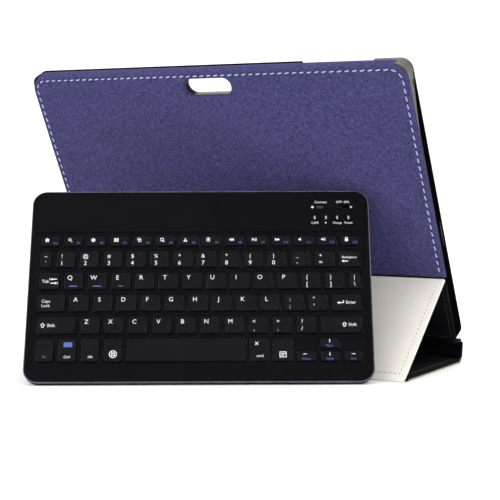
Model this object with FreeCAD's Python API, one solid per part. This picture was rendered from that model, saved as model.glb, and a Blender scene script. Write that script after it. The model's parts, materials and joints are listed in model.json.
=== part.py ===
"""Tablet keyboard case, standing open, with its slim wireless keyboard leaning against the back.

The case is a shallow tray that holds a tablet, with a canvas-covered panel on its back. Its cover is
hinged to the tray's lower front edge and is folded under and behind it: a narrow spine stands on the
floor, the base lies flat, and the flap leans up to a ledge under the canvas panel, so that the three
make a triangular stand. The keyboard stands on its long edge behind the case.

X runs along the case's width, -Y is the back, where the canvas panel and the keyboard face, and Z is up.
"""
import FreeCAD, Part
import math
import os

Vector = FreeCAD.Vector
X_AXIS = Vector(1, 0, 0)
Z_AXIS = Vector(0, 0, 1)

# Case, in millimetres and degrees
CASE_WIDTH = 304.0
RECLINE = 26.1            # the tray's lean, from upright
LEDGE_HEIGHT = 62.8       # the canvas panel's lower edge, above the floor
PANEL_HEIGHT = 160.0      # the canvas panel, from the ledge to the tray's top
TRAY_HEIGHT = 214.0
TRAY_THICKNESS = 12.0     # from the canvas to the bezel's front
CORNER_RADIUS = 8.0

CANVAS_THICKNESS = 0.7
PANEL_BOARD_THICKNESS = 1.1
TRAY_BACK_THICKNESS = 1.2
TRAY_LINING_THICKNESS = 0.4
LOWER_BACK_THICKNESS = 0.6
FRAME_WALL = 6.0
BEZEL_LIP = 4.0
BEZEL_THICKNESS = 1.0
BEZEL_EDGE_RADIUS = 1.2

SLOT_LENGTH = 38.0        # camera slot, in the canvas
SLOT_WIDTH = 12.6
SLOT_BELOW_TOP = 12.3     # the slot's middle, below the tray's top edge
COLLAR_WALL = 1.0
NOTCH_START = 72.0        # cut-out for the tablet's buttons, in the frame's top wall
NOTCH_END = 126.0
NOTCH_DEPTH_CLEAR = 2.0   # wall left behind the cut-out

# Cover
COVER_THICKNESS = 3.0
SKIN_THICKNESS = 0.8
LINING_THICKNESS = 0.7
BOARD_INSET = 3.0
FLAP_LENGTH = 95.2
FLAP_END_GAP = 1.6        # dark gap between the flap's top and the canvas panel
SPINE_FOOT_Y = 31.0       # fold between spine and base
SPINE_DROP = 2.5          # the spine's hinge line, below the tray
SPINE_SETBACK = 3.0       # the spine's hinge line, behind the bezel's front
SPINE_START = 1.5         # stiffened stretch of the spine, from its hinge line
FOLD_SETBACK = 2.0        # stiffened edges stay this far from the fold at the foot
MITRE_GAP = 0.15
TAB_THICKNESS = 0.8

MAGNET_SIZE = (12.0, 4.0, 0.8)
MAGNET_COUNT = 4
MAGNET_EDGE = 5.0         # magnets' middle, from the panel's or flap's edge

# Keyboard
KEYBOARD_WIDTH = 228.0
KEYBOARD_DEPTH = 136.0
KEYBOARD_RADIUS = 9.5
KEYBOARD_LEAN = 27.0
KEYBOARD_TURN = 29.8      # turned to the case's right, seen from behind
KEYBOARD_RIGHT_X = 136.5  # its lower right corner
LEAN_GAP = 0.4            # between its upper right corner and the canvas
SHELL_FLOOR = 1.0
SHELL_WALL = 1.6
SHELL_HEIGHT = 4.2
DECK_TOP = 5.6
KEY_DECK_RECESS = 0.4
SHELL_EDGE_RADIUS = 0.8

KEY_FIELD_MARGIN = 7.0
KEY_GAP = 2.6
KEY_CLEARANCE = 0.25
KEY_HEIGHT = 12.0
KEY_ROW_PITCH = 15.6
KEY_BOTTOM = 3.2
KEY_TOP = 6.4
KEY_CORNER = 1.2
KEY_EDGE = 0.45
BOTTOM_ROW_Y = 13.8
BOTTOM_ROW_HEIGHT = 16.2
ARROW_HEIGHT = 7.2
LETTER_ROWS_Y = 33.1
FUNCTION_KEY_HEIGHT = 7.4
SMALL_KEY_WIDTH = 12.3    # the keys beside the space bar
ARROW_WIDTH = 12.8
KEY_ROWS = [              # first key, how many equal keys, last key and height, from the lowest letters up
    (26.2, 10, 27.7, KEY_HEIGHT),
    (18.4, 11, 19.6, KEY_HEIGHT),
    (14.0, 12, 8.1, KEY_HEIGHT),
    (8.2, 12, 14.5, KEY_HEIGHT),
    (None, 14, None, FUNCTION_KEY_HEIGHT),
]
UPPER_BAND_Y = 106.0      # the plain band above the keys starts here
FIELD_EDGE = 3.0          # the sunk key field's sides, from the deck's
FIELD_LOW = 9.0

SWITCH_Y = 124.0
CONNECT_X = 195.0
POWER_X = 210.5
SWITCH_SLOT = (8.0, 2.4)
SLIDER_SIZE = (3.4, 1.8)
BUTTON_SIZE = (5.0, 2.2)
LIGHTS_X = 191.3
LIGHTS_Y = 116.2
LIGHT_PITCH = 7.65
LIGHT_RADIUS = 0.55
SCREW_INSET = 9.0
SCREW_RADIUS = 0.7
SCREW_HEAD_RADIUS = 1.4
SCREW_HEAD_TOP = 0.8
BOSS_RADIUS = 2.0

FRONT_Z = -TRAY_THICKNESS
TRAY_BACK_Z = -(CANVAS_THICKNESS + PANEL_BOARD_THICKNESS)
BAY_FLOOR_Z = TRAY_BACK_Z - TRAY_BACK_THICKNESS
TRAY_BOTTOM = PANEL_HEIGHT - TRAY_HEIGHT
SLOT_Y = PANEL_HEIGHT - SLOT_BELOW_TOP

FLAP_ANGLE = math.degrees(math.asin(LEDGE_HEIGHT / FLAP_LENGTH))
HEEL_Y = -FLAP_LENGTH * math.cos(math.radians(FLAP_ANGLE))
MITRE_SLOPE = 1 / math.tan(math.radians(FLAP_ANGLE / 2))


def along_tray(height, depth):
    """World point in the case's middle plane: height along the tray above the ledge, depth in from the canvas."""
    lean = math.radians(RECLINE)
    return Vector(0, depth * math.cos(lean) - height * math.sin(lean),
                  LEDGE_HEIGHT + height * math.cos(lean) + depth * math.sin(lean))


SPINE_AXIS = along_tray(TRAY_BOTTOM - SPINE_DROP, TRAY_THICKNESS - SPINE_SETBACK)
FOOT_AXIS = Vector(0, SPINE_FOOT_Y, COVER_THICKNESS / 2)
SPINE_LENGTH = (FOOT_AXIS - SPINE_AXIS).Length
SPINE_ANGLE = math.degrees(math.atan2(FOOT_AXIS.z - SPINE_AXIS.z, FOOT_AXIS.y - SPINE_AXIS.y))

# Each group is drawn flat, back face up, and then put in its place
TRAY_PLACE = FreeCAD.Placement(Vector(0, 0, LEDGE_HEIGHT), FreeCAD.Rotation(X_AXIS, 90 + RECLINE))
FLAP_PLACE = FreeCAD.Placement(Vector(0, HEEL_Y, 0), FreeCAD.Rotation(X_AXIS, FLAP_ANGLE))
SPINE_PLACE = FreeCAD.Placement(SPINE_AXIS, FreeCAD.Rotation(X_AXIS, SPINE_ANGLE))


def outline(left, right, low, high, low_radius, high_radius):
    """Closed flat face of a rectangle with rounded corners."""
    corners = [(left, low, low_radius, 180), (right, low, low_radius, 270),
               (right, high, high_radius, 0), (left, high, high_radius, 90)]
    ends = []
    edges = []
    for x, y, radius, start in corners:
        if radius == 0:
            ends.append((Vector(x, y, 0), Vector(x, y, 0)))
            continue
        middle = Vector(x + (radius if x == left else -radius), y + (radius if y == low else -radius), 0)
        points = [middle + radius * Vector(math.cos(math.radians(start + turn)),
                                           math.sin(math.radians(start + turn)), 0) for turn in (0, 45, 90)]
        edges.append(Part.Arc(*points).toShape())
        ends.append((points[0], points[2]))
    for (_, leaving), (arriving, _) in zip(ends, ends[1:] + ends[:1]):
        edges.append(Part.makeLine(leaving, arriving))
    return Part.Face(Part.Wire(Part.__sortEdges__(edges)))


def plate(left, right, low, high, z_low, z_high, low_radius=0.0, high_radius=0.0):
    face = outline(left, right, low, high, low_radius, high_radius)
    face.translate(Vector(0, 0, z_low))
    return face.extrude(Vector(0, 0, z_high - z_low))


def stadium(length, width, middle_y, z_low, z_high):
    """Prism with round ends, along X."""
    half = width / 2 - 0.01
    return plate(-length / 2, length / 2, middle_y - width / 2, middle_y + width / 2, z_low, z_high, half, half)


def side_prism(points, inset):
    """Prism along X, across the case's width less inset at each end, of a section in Y and Z."""
    half = CASE_WIDTH / 2 - inset
    section = Part.makePolygon([Vector(-half, y, z) for y, z in points + points[:1]])
    return Part.Face(section).extrude(Vector(2 * half, 0, 0))


def magnet_row(edge_y, top_z, grow=0.0):
    """Bar magnets in a row along X, sunk down from top_z. A grown row is the cutter for their pockets."""
    length, width, thickness = (size + grow for size in MAGNET_SIZE)
    pitch = CASE_WIDTH / (MAGNET_COUNT + 1)
    rows = []
    for i in range(MAGNET_COUNT):
        middle = (i - (MAGNET_COUNT - 1) / 2) * pitch
        corner = Vector(middle - length / 2, edge_y - width / 2, top_z - thickness)
        rows.append(Part.makeBox(length, width, thickness, corner))
    return Part.makeCompound(rows)


# ---- tray and back panel ----

def back_canvas():
    half = CASE_WIDTH / 2
    panel = plate(-half, half, 0, PANEL_HEIGHT, -CANVAS_THICKNESS, 0, 1.0, CORNER_RADIUS)
    return panel.cut(stadium(SLOT_LENGTH, SLOT_WIDTH, SLOT_Y, -CANVAS_THICKNESS - 1, 1))


def slot_cutter():
    """Hole for the slot's collar through everything behind the canvas."""
    return stadium(SLOT_LENGTH + 2 * COLLAR_WALL, SLOT_WIDTH + 2 * COLLAR_WALL, SLOT_Y, -TRAY_THICKNESS, 1)


def back_board():
    half = CASE_WIDTH / 2 - 1.5
    board = plate(-half, half, 1.5, PANEL_HEIGHT - 1.5, TRAY_BACK_Z, -CANVAS_THICKNESS, 1.0, CORNER_RADIUS - 1.5)
    return board.cut(slot_cutter()).cut(magnet_row(MAGNET_EDGE, -CANVAS_THICKNESS, 0.1))


def slot_collar():
    outer = stadium(SLOT_LENGTH + 2 * COLLAR_WALL, SLOT_WIDTH + 2 * COLLAR_WALL, SLOT_Y,
                    BAY_FLOOR_Z, -CANVAS_THICKNESS)
    return outer.cut(stadium(SLOT_LENGTH, SLOT_WIDTH, SLOT_Y, FRONT_Z, 0))


def tray_back():
    half = CASE_WIDTH / 2
    shell = plate(-half, half, TRAY_BOTTOM, PANEL_HEIGHT, BAY_FLOOR_Z, TRAY_BACK_Z, CORNER_RADIUS, CORNER_RADIUS)
    return shell.cut(slot_cutter())


def tray_lining():
    half = CASE_WIDTH / 2 - FRAME_WALL
    low, high = TRAY_BOTTOM + FRAME_WALL, PANEL_HEIGHT - FRAME_WALL
    pad = plate(-half, half, low, high, BAY_FLOOR_Z - TRAY_LINING_THICKNESS, BAY_FLOOR_Z, 4.0, 4.0)
    return pad.cut(slot_cutter())


def holder_frame():
    """Wall round the tablet with a thin bezel lip over its front edge, open where the buttons are."""
    half = CASE_WIDTH / 2
    body = plate(-half, half, TRAY_BOTTOM, PANEL_HEIGHT, FRONT_Z, BAY_FLOOR_Z, CORNER_RADIUS, CORNER_RADIUS)
    front_edges = [e for e in body.Edges if abs(e.BoundBox.ZMax - FRONT_Z) < 0.01]
    body = body.makeFillet(BEZEL_EDGE_RADIUS, front_edges)
    bay = plate(-half + FRAME_WALL, half - FRAME_WALL, TRAY_BOTTOM + FRAME_WALL, PANEL_HEIGHT - FRAME_WALL,
                FRONT_Z + BEZEL_THICKNESS, BAY_FLOOR_Z + 1, 4.0, 4.0)
    inset = FRAME_WALL + BEZEL_LIP
    window = plate(-half + inset, half - inset, TRAY_BOTTOM + inset, PANEL_HEIGHT - inset,
                   FRONT_Z - 1, BAY_FLOOR_Z + 1, 2.0, 2.0)
    notch = Part.makeBox(NOTCH_END - NOTCH_START, 2 * inset, TRAY_THICKNESS,
                         Vector(NOTCH_START, PANEL_HEIGHT - inset, BAY_FLOOR_Z - NOTCH_DEPTH_CLEAR - TRAY_THICKNESS))
    return body.cut([bay, window, notch])


def lower_back_panel():
    half = CASE_WIDTH / 2 - 1
    return plate(-half, half, TRAY_BOTTOM + 1, -1, TRAY_BACK_Z, TRAY_BACK_Z + LOWER_BACK_THICKNESS, 6.0, 0)


def ledge_magnets():
    return magnet_row(MAGNET_EDGE, -CANVAS_THICKNESS)


def hinge_tab():
    """Sewn tab under the tray, which the spine's leather turns off."""
    half = CASE_WIDTH / 2 - CORNER_RADIUS
    return plate(-half, half, TRAY_BOTTOM - TAB_THICKNESS, TRAY_BOTTOM, FRONT_Z + SPINE_SETBACK / 2, TRAY_BACK_Z)


# ---- cover ----

def spine_layer(z_low, z_high, inset=0.0):
    start, end = SPINE_START + inset / 2, SPINE_LENGTH - FOLD_SETBACK - inset / 2
    return side_prism([(start, z_low), (end, z_low), (end, z_high), (start, z_high)], inset)


def base_layer(low, high, inset=0.0):
    """Layer of the base between two heights above the floor, mitred where the flap meets it."""
    front = SPINE_FOOT_Y - FOLD_SETBACK - inset
    back = [HEEL_Y + MITRE_GAP + height * MITRE_SLOPE + inset for height in (low, high)]
    return side_prism([(back[0], low), (front, low), (front, high), (back[1], high)], inset)


def flap_layer(shallow, deep, inset=0.0):
    """Layer of the flap between two depths under its outer face, mitred where it meets the base."""
    end = FLAP_LENGTH - FLAP_END_GAP - inset
    start = [MITRE_GAP + depth * MITRE_SLOPE + inset for depth in (shallow, deep)]
    return side_prism([(start[0], -shallow), (end, -shallow), (end, -deep), (start[1], -deep)], inset)


BOARD_LOW = SKIN_THICKNESS
BOARD_HIGH = COVER_THICKNESS - LINING_THICKNESS
HALF_COVER = COVER_THICKNESS / 2
FLAP_MAGNET_Y = FLAP_LENGTH - FLAP_END_GAP - BOARD_INSET - MAGNET_EDGE


def flap_board():
    return flap_layer(BOARD_LOW, BOARD_HIGH, BOARD_INSET).cut(magnet_row(FLAP_MAGNET_Y, -BOARD_LOW, 0.1))


def cover_spine_nodes():
    return {
        "spine_skin": spine_layer(HALF_COVER - SKIN_THICKNESS, HALF_COVER),
        "spine_board": spine_layer(LINING_THICKNESS - HALF_COVER, HALF_COVER - SKIN_THICKNESS, 1.0),
        "spine_lining": spine_layer(-HALF_COVER, LINING_THICKNESS - HALF_COVER),
    }


def cover_base_nodes():
    return {
        "base_skin": base_layer(0, BOARD_LOW),
        "base_board": base_layer(BOARD_LOW, BOARD_HIGH, BOARD_INSET),
        "base_lining": base_layer(BOARD_HIGH, COVER_THICKNESS),
    }


def cover_flap_nodes():
    return {
        "flap_skin": flap_layer(0, BOARD_LOW),
        "flap_board": flap_board(),
        "flap_lining": flap_layer(BOARD_HIGH, COVER_THICKNESS),
        "flap_magnets": magnet_row(FLAP_MAGNET_Y, -BOARD_LOW),
    }


# ---- keyboard ----

def fill_row(first, count, last):
    """Widths of a row: its first key, count equal keys, its last key, filling the key field."""
    ends = [width for width in (first, last) if width]
    field = KEYBOARD_WIDTH - 2 * KEY_FIELD_MARGIN
    gaps = KEY_GAP * (count + len(ends) - 1)
    equal = (field - gaps - sum(ends)) / count
    return [width for width in [first, *[equal] * count, last] if width]


def place_row(widths, low, height):
    """(left, low, width, height) of each key in a row."""
    keys = []
    left = KEY_FIELD_MARGIN
    for width in widths:
        keys.append((left, low, width, height))
        left += width + KEY_GAP
    return keys


def key_rows():
    """Every key's box, by node."""
    lower, home, upper, digits, function = (
        place_row(fill_row(first, count, last), LETTER_ROWS_Y + i * KEY_ROW_PITCH, height)
        for i, (first, count, last, height) in enumerate(KEY_ROWS))
    small, arrow = SMALL_KEY_WIDTH, ARROW_WIDTH
    space = KEYBOARD_WIDTH - 2 * KEY_FIELD_MARGIN - 9 * KEY_GAP - 5 * small - 4 * arrow
    bottom = place_row([small] * 4 + [space, small] + [arrow] * 4, BOTTOM_ROW_Y, BOTTOM_ROW_HEIGHT)
    left_key, middle_key, right_key = ((x, y, w, ARROW_HEIGHT) for x, y, w, _ in bottom[7:])
    up_key = (middle_key[0], BOTTOM_ROW_Y + BOTTOM_ROW_HEIGHT - ARROW_HEIGHT, arrow, ARROW_HEIGHT)
    keys = {
        "keys_function": function,
        "key_tilde": digits[:1], "keys_digits": digits[1:-1], "key_backspace": digits[-1:],
        "key_tab": upper[:1], "keys_upper": upper[1:-1], "key_backslash": upper[-1:],
        "key_caps": home[:1], "keys_home": home[1:-1], "key_enter": home[-1:],
        "key_shift_left": lower[:1], "keys_lower": lower[1:-1], "key_shift_right": lower[-1:],
    }
    names = ["key_fn", "key_ctrl", "key_alt", "key_system", "key_space", "key_command", "key_menu"]
    keys.update({name: [box] for name, box in zip(names, bottom)})
    keys.update({"key_left": [left_key], "key_down": [middle_key], "key_up": [up_key], "key_right": [right_key]})
    return keys


def key_cap(left, low, width, height):
    cap = plate(left, left + width, low, low + height, KEY_BOTTOM, KEY_TOP, KEY_CORNER, KEY_CORNER)
    top_edges = [e for e in cap.Edges if e.BoundBox.ZMin > KEY_TOP - 0.01]
    return cap.makeFillet(KEY_EDGE, top_edges)


def key_hole(left, low, width, height):
    grow, radius = KEY_CLEARANCE, KEY_CORNER + KEY_CLEARANCE
    return plate(left - grow, left + width + grow, low - grow, low + height + grow,
                 SHELL_HEIGHT - 1, DECK_TOP + 1, radius, radius)


def small_box(middle_x, middle_y, size, z_low, z_high):
    """Upright block centred on a point of the deck."""
    width, height = size
    corner = Vector(middle_x - width / 2, middle_y - height / 2, z_low)
    return Part.makeBox(width, height, z_high - z_low, corner)


def light_positions():
    return [Vector(LIGHTS_X + i * LIGHT_PITCH, LIGHTS_Y, 0) for i in range(4)]


def keyboard_deck(keys):
    """Top shell: a plain band above, and a slightly sunk field with a hole for each key."""
    width, depth = KEYBOARD_WIDTH, KEYBOARD_DEPTH
    deck = plate(0, width, 0, depth, SHELL_HEIGHT, DECK_TOP, KEYBOARD_RADIUS, KEYBOARD_RADIUS)
    deck = deck.makeFillet(SHELL_EDGE_RADIUS, [e for e in deck.Edges if e.BoundBox.ZMin > DECK_TOP - 0.01])
    field = plate(FIELD_EDGE, width - FIELD_EDGE, FIELD_LOW, UPPER_BAND_Y,
                  DECK_TOP - KEY_DECK_RECESS, DECK_TOP + 1, FIELD_EDGE, FIELD_EDGE)
    holes = [key_hole(*box) for boxes in keys.values() for box in boxes]
    slot_low = SHELL_HEIGHT - 1
    switch = small_box(POWER_X, SWITCH_Y, SWITCH_SLOT, slot_low, DECK_TOP + 1)
    button_hole = tuple(size + 2 * KEY_CLEARANCE for size in BUTTON_SIZE)
    button = small_box(CONNECT_X, SWITCH_Y, button_hole, slot_low, DECK_TOP + 1)
    lights = [Part.makeCylinder(LIGHT_RADIUS, 4, at + Vector(0, 0, slot_low)) for at in light_positions()]
    bosses = [cylinder(at, BOSS_RADIUS, SHELL_FLOOR + 0.1, SHELL_HEIGHT) for at in screw_positions()]
    taps = [cylinder(at, SCREW_RADIUS, SHELL_FLOOR, SHELL_HEIGHT - 0.6) for at in screw_positions()]
    return deck.fuse(bosses).cut([field, switch, button, *holes, *lights, *taps]).removeSplitter()


def port_cutter():
    return Part.makeBox(8, 8.0, 2.8, Vector(KEYBOARD_WIDTH - 5.5, SWITCH_Y - 4.0, 1.2))


def keyboard_shell():
    """Bottom shell, a shallow tray."""
    width, depth, wall = KEYBOARD_WIDTH, KEYBOARD_DEPTH, SHELL_WALL
    shell = plate(0, width, 0, depth, 0, SHELL_HEIGHT, KEYBOARD_RADIUS, KEYBOARD_RADIUS)
    shell = shell.makeFillet(SHELL_EDGE_RADIUS, [e for e in shell.Edges if e.BoundBox.ZMax < 0.01])
    inner = KEYBOARD_RADIUS - wall
    cavity = plate(wall, width - wall, wall, depth - wall, SHELL_FLOOR, SHELL_HEIGHT + 1, inner, inner)
    holes = [cylinder(at, SCREW_RADIUS, -1, SHELL_FLOOR + 1) for at in screw_positions()]
    sinks = [cylinder(at, SCREW_HEAD_RADIUS + 0.1, -1, SCREW_HEAD_TOP) for at in screw_positions()]
    return shell.cut([cavity, port_cutter(), *holes, *sinks])


def screw_positions():
    columns = (SCREW_INSET, KEYBOARD_WIDTH / 2, KEYBOARD_WIDTH - SCREW_INSET)
    return [Vector(x, y, 0) for x in columns for y in (SCREW_INSET, KEYBOARD_DEPTH - SCREW_INSET)]


def cylinder(at, radius, z_low, z_high):
    """Upright cylinder over a point of the keyboard's back."""
    return Part.makeCylinder(radius, z_high - z_low, at + Vector(0, 0, z_low))


def screw(at):
    """Case screw, its head sunk in the bottom shell and its shank in the deck's boss."""
    head = cylinder(at, SCREW_HEAD_RADIUS, SCREW_HEAD_TOP - 0.6, SCREW_HEAD_TOP)
    shank = cylinder(at, SCREW_RADIUS, SCREW_HEAD_TOP, SHELL_HEIGHT - 0.8)
    return head.fuse(shank).removeSplitter()


def rubber_foot(x, y):
    foot = plate(x - 7, x + 7, y - 2.5, y + 2.5, -0.8, 0, 2.4, 2.4)
    return foot.makeFillet(0.3, [e for e in foot.Edges if e.BoundBox.ZMax < -0.79])


def charging_port():
    """Sheet-metal socket in the right-hand wall, open outwards."""
    body = Part.makeBox(5.2, 7.6, 2.6, Vector(KEYBOARD_WIDTH - 5.4, SWITCH_Y - 3.8, 1.3))
    mouth = Part.makeBox(4.8, 6.8, 1.8, Vector(KEYBOARD_WIDTH - 4.6, SWITCH_Y - 3.4, 1.7))
    tongue = Part.makeBox(3.4, 4.0, 0.5, Vector(KEYBOARD_WIDTH - 4.8, SWITCH_Y - 2.0, 2.4))
    return body.cut(mouth).fuse(tongue).removeSplitter()


def power_switch():
    """Slider shown at off, at the left end of its slot."""
    travel_end = POWER_X - (SWITCH_SLOT[0] - SLIDER_SIZE[0]) / 2 + 0.3
    nub = small_box(travel_end, SWITCH_Y, SLIDER_SIZE, SHELL_HEIGHT - 0.2, DECK_TOP + 0.3)
    foot = small_box(travel_end, SWITCH_Y, (5.0, 4.0), SHELL_HEIGHT - 0.8, SHELL_HEIGHT - 0.2)
    return nub.fuse(foot).removeSplitter()


def connect_button():
    cap = small_box(CONNECT_X, SWITCH_Y, BUTTON_SIZE, SHELL_HEIGHT - 1.0, DECK_TOP + 0.3)
    return cap.makeFillet(0.3, [e for e in cap.Edges if e.BoundBox.ZMin > DECK_TOP + 0.29])


def keyboard_nodes():
    keys = key_rows()
    depth = KEYBOARD_DEPTH
    sheet_low, sheet_top = SCREW_INSET + BOSS_RADIUS + 0.5, UPPER_BAND_Y - 1
    feet = [rubber_foot(x, y) for x in (18, KEYBOARD_WIDTH - 18) for y in (8, depth - 8)]
    lights = [Part.makeCylinder(LIGHT_RADIUS - 0.05, 3.4, at + Vector(0, 0, 2.2)) for at in light_positions()]
    nodes = {
        "keyboard_deck": keyboard_deck(keys),
        "keyboard_shell": keyboard_shell(),
        "backing_plate": plate(5, KEYBOARD_WIDTH - 5, sheet_low, sheet_top, SHELL_FLOOR, 1.4, 1.0, 1.0),
        "key_membrane": plate(6, KEYBOARD_WIDTH - 6, sheet_low + 1, sheet_top - 1, 1.4, 1.8, 1.0, 1.0),
        "battery": plate(22, 108, UPPER_BAND_Y + 2, depth - 4, SHELL_FLOOR, 3.6, 1.0, 1.0),
        "circuit_board": plate(150, KEYBOARD_WIDTH - 5.5, UPPER_BAND_Y + 2, 124.5, SHELL_FLOOR, 2.2, 0.5, 0.5),
        "charging_port": charging_port(),
        "indicator_lights": Part.makeCompound(lights),
        "power_switch": power_switch(),
        "connect_button": connect_button(),
        "rubber_feet": Part.makeCompound(feet),
        "keyboard_screws": Part.makeCompound([screw(at) for at in screw_positions()]),
    }
    for name, boxes in keys.items():
        caps = [key_cap(*box) for box in boxes]
        nodes[name] = caps[0] if len(caps) == 1 else Part.makeCompound(caps)
    return nodes


def keyboard_place():
    """The keyboard stands on its long edge and leans on the canvas with its upper right corner."""
    turn = FreeCAD.Rotation(Z_AXIS, KEYBOARD_TURN).multiply(FreeCAD.Rotation(X_AXIS, 90 - KEYBOARD_LEAN))
    right_edge = turn.multVec(Vector(KEYBOARD_WIDTH, 0, 0))
    corner = turn.multVec(Vector(KEYBOARD_WIDTH, KEYBOARD_DEPTH, 0))
    lean = math.radians(RECLINE)
    canvas_y = -(corner.z - LEDGE_HEIGHT) * math.tan(lean) - LEAN_GAP / math.cos(lean)
    return FreeCAD.Placement(Vector(KEYBOARD_RIGHT_X - right_edge.x, canvas_y - corner.y, 0), turn)


# ---- assembly ----

def case_nodes():
    return {
        "back_canvas": back_canvas(),
        "back_board": back_board(),
        "slot_collar": slot_collar(),
        "tray_back": tray_back(),
        "tray_lining": tray_lining(),
        "holder_frame": holder_frame(),
        "lower_back_panel": lower_back_panel(),
        "ledge_magnets": ledge_magnets(),
        "hinge_tab": hinge_tab(),
    }


def put(nodes, place):
    """Moves a group of flat nodes to its place."""
    for shape in nodes.values():
        shape.Placement = place.multiply(shape.Placement)
    return nodes


def everything():
    """All nodes where they stand, with the origin on the floor at the middle of the footprint."""
    stand = keyboard_place()
    nodes = put(case_nodes(), TRAY_PLACE)
    nodes.update(put(cover_spine_nodes(), SPINE_PLACE))
    nodes.update(cover_base_nodes())
    nodes.update(put(cover_flap_nodes(), FLAP_PLACE))
    keyboard = put(keyboard_nodes(), stand)
    lowest = keyboard["keyboard_shell"].optimalBoundingBox().ZMin
    for shape in keyboard.values():
        shape.translate(Vector(0, 0, -lowest))
    nodes.update(keyboard)
    box = Part.makeCompound(list(nodes.values())).optimalBoundingBox()
    shift = Vector(-(box.XMin + box.XMax) / 2, -(box.YMin + box.YMax) / 2, -box.ZMin)
    for shape in nodes.values():
        shape.translate(shift)
    return nodes, shift, stand


def report_axes(shift, stand):
    """Prints what the record needs: where the joints are and which way they point."""
    for name, point in (("spine hinge", SPINE_AXIS), ("foot fold", FOOT_AXIS), ("heel fold", Vector(0, HEEL_Y, 0))):
        print(name, [round(v, 3) for v in point + shift])
    for name, axis in (("keyboard right", X_AXIS), ("keyboard up", Vector(0, 1, 0)), ("key axis", Vector(0, 0, -1))):
        print(name, [round(v, 6) for v in stand.Rotation.multVec(axis)])
    print("angles: spine", round(SPINE_ANGLE, 3), "flap", round(FLAP_ANGLE, 3), "shift", shift)


def main():
    os.makedirs("parts", exist_ok=True)
    nodes, shift, stand = everything()
    for name, shape in nodes.items():
        if not shape.isValid():
            print("not valid:", name)
        shape.exportStep(f"parts/{name}.step")
    print(len(nodes), "nodes")
    report_axes(shift, stand)


main()
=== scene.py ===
"""Finished look of a tablet keyboard case, standing open, with its slim keyboard leaning on its back.

Each panel has its own local space, in millimetres: x to the right, y up the panel and z out of its face.
"""
import bpy
import json
import math
from mathutils import Matrix, Vector, geometry, noise


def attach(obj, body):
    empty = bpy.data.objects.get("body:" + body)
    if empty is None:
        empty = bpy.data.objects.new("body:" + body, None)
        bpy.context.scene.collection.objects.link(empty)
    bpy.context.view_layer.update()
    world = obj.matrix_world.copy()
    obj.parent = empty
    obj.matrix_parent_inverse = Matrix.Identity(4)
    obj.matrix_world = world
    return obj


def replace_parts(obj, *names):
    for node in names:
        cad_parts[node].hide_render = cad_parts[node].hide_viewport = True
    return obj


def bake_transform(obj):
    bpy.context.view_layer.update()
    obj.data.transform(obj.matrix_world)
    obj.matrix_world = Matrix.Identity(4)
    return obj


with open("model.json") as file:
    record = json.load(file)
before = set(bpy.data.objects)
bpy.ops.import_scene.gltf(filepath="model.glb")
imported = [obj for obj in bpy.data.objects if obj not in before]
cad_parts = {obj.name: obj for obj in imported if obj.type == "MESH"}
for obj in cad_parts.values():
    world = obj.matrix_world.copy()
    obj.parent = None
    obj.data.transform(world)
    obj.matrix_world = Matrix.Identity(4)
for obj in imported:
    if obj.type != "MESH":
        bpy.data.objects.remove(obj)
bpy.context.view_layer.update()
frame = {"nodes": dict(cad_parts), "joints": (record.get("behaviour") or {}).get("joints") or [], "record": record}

MM = 0.001
RIGHT = Vector((1, 0, 0))
BACKWARD = Matrix.Rotation(math.pi, 4, "X")
RECLINE = math.radians(26.1)
KEYBOARD_LEAN = math.radians(27.0)
KEYBOARD_TURN = math.radians(29.8)

# Case, in millimetres
CANVAS_CORNER = 12.5       # radius of its upper corners
CANVAS_ROLL = 7.6          # how far the canvas turns over the top edge
CANVAS_TURN = 1.9          # and over the sides
SEAM_INSET = 3.7
STITCH_PITCH = 5.6
THREAD_PITCH = 0.62        # of the canvas weave
SLOT_LENGTH, SLOT_WIDTH = 38.0, 12.6
NOTCH_MIDDLE = 99.0        # of the cut-out in the tray's top edge, from the case's middle
COVER = 3.0                # thickness of the folding cover
SKIN = 0.8                 # thickness of its leather

# Keyboard, in millimetres
KEY_GAP = 2.6
KEY_CORNER = 1.2
DECK_TOP = 5.6
SHELL_RADIUS = 9.5
PRINT_HEIGHT = 0.03        # of the print over a key's face
PRINT_ROOT = 0.05          # and how far it reaches under it
CAPITAL = 0.73             # height of a capital, as a share of the font's size
LETTER_SIZE = 3.1
LETTER_DROP = 5.0          # from a key's upper side to the baseline of its upper line

# Camera and light, in degrees and metres
CAMERA_AZIMUTH = 29.796
CAMERA_DROP = 4.063
CAMERA_ROLL = -0.216
CAMERA_AIM = (0.0343, 0.0154, 0.0827)
CAMERA_DISTANCE = 0.99
LENS = 103.24
SKY_STRENGTH = 1.35
LAMP_AIM = Vector((0, 0, 0.1))
LAMPS = (    # name, place, size in metres, power in watts
    ("key_light", (-0.9, -1.5, 1.5), 1.8, 12.0),
    ("fill_light", (1.7, -0.6, 0.9), 1.6, 5.0),
    ("top_light", (0.1, 0.5, 1.9), 1.8, 9.0),
    ("front_light", (0.3, 1.9, 1.0), 1.4, 10.0),
)


# ---- local spaces ----

def local_box(node, space):
    """Lowest and highest corner of a CAD node in a local space."""
    back = space.inverted()
    points = [back @ v.co for v in frame["nodes"][node].data.vertices]
    return tuple(Vector([pick(p[i] for p in points) for i in range(3)]) for pick in (min, max))


def local_space(right, up, origin):
    """Matrix from local millimetres to the row frame's metres."""
    out = right.cross(up)
    space = Matrix((right, up, out)).transposed().to_4x4() @ Matrix.Scale(MM, 4)
    space.translation = origin
    return space


def at_corner_of(node, right, up):
    """Local space with its origin at the CAD node's lowest corner."""
    space = local_space(right, up, Vector())
    low = local_box(node, space)[0]
    space.translation = space @ low
    return space


def fold_point(joint):
    """A point on a joint's axis, in the row frame."""
    return Vector(next(j["pos_m"] for j in frame["joints"] if j["name"] == joint))


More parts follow.
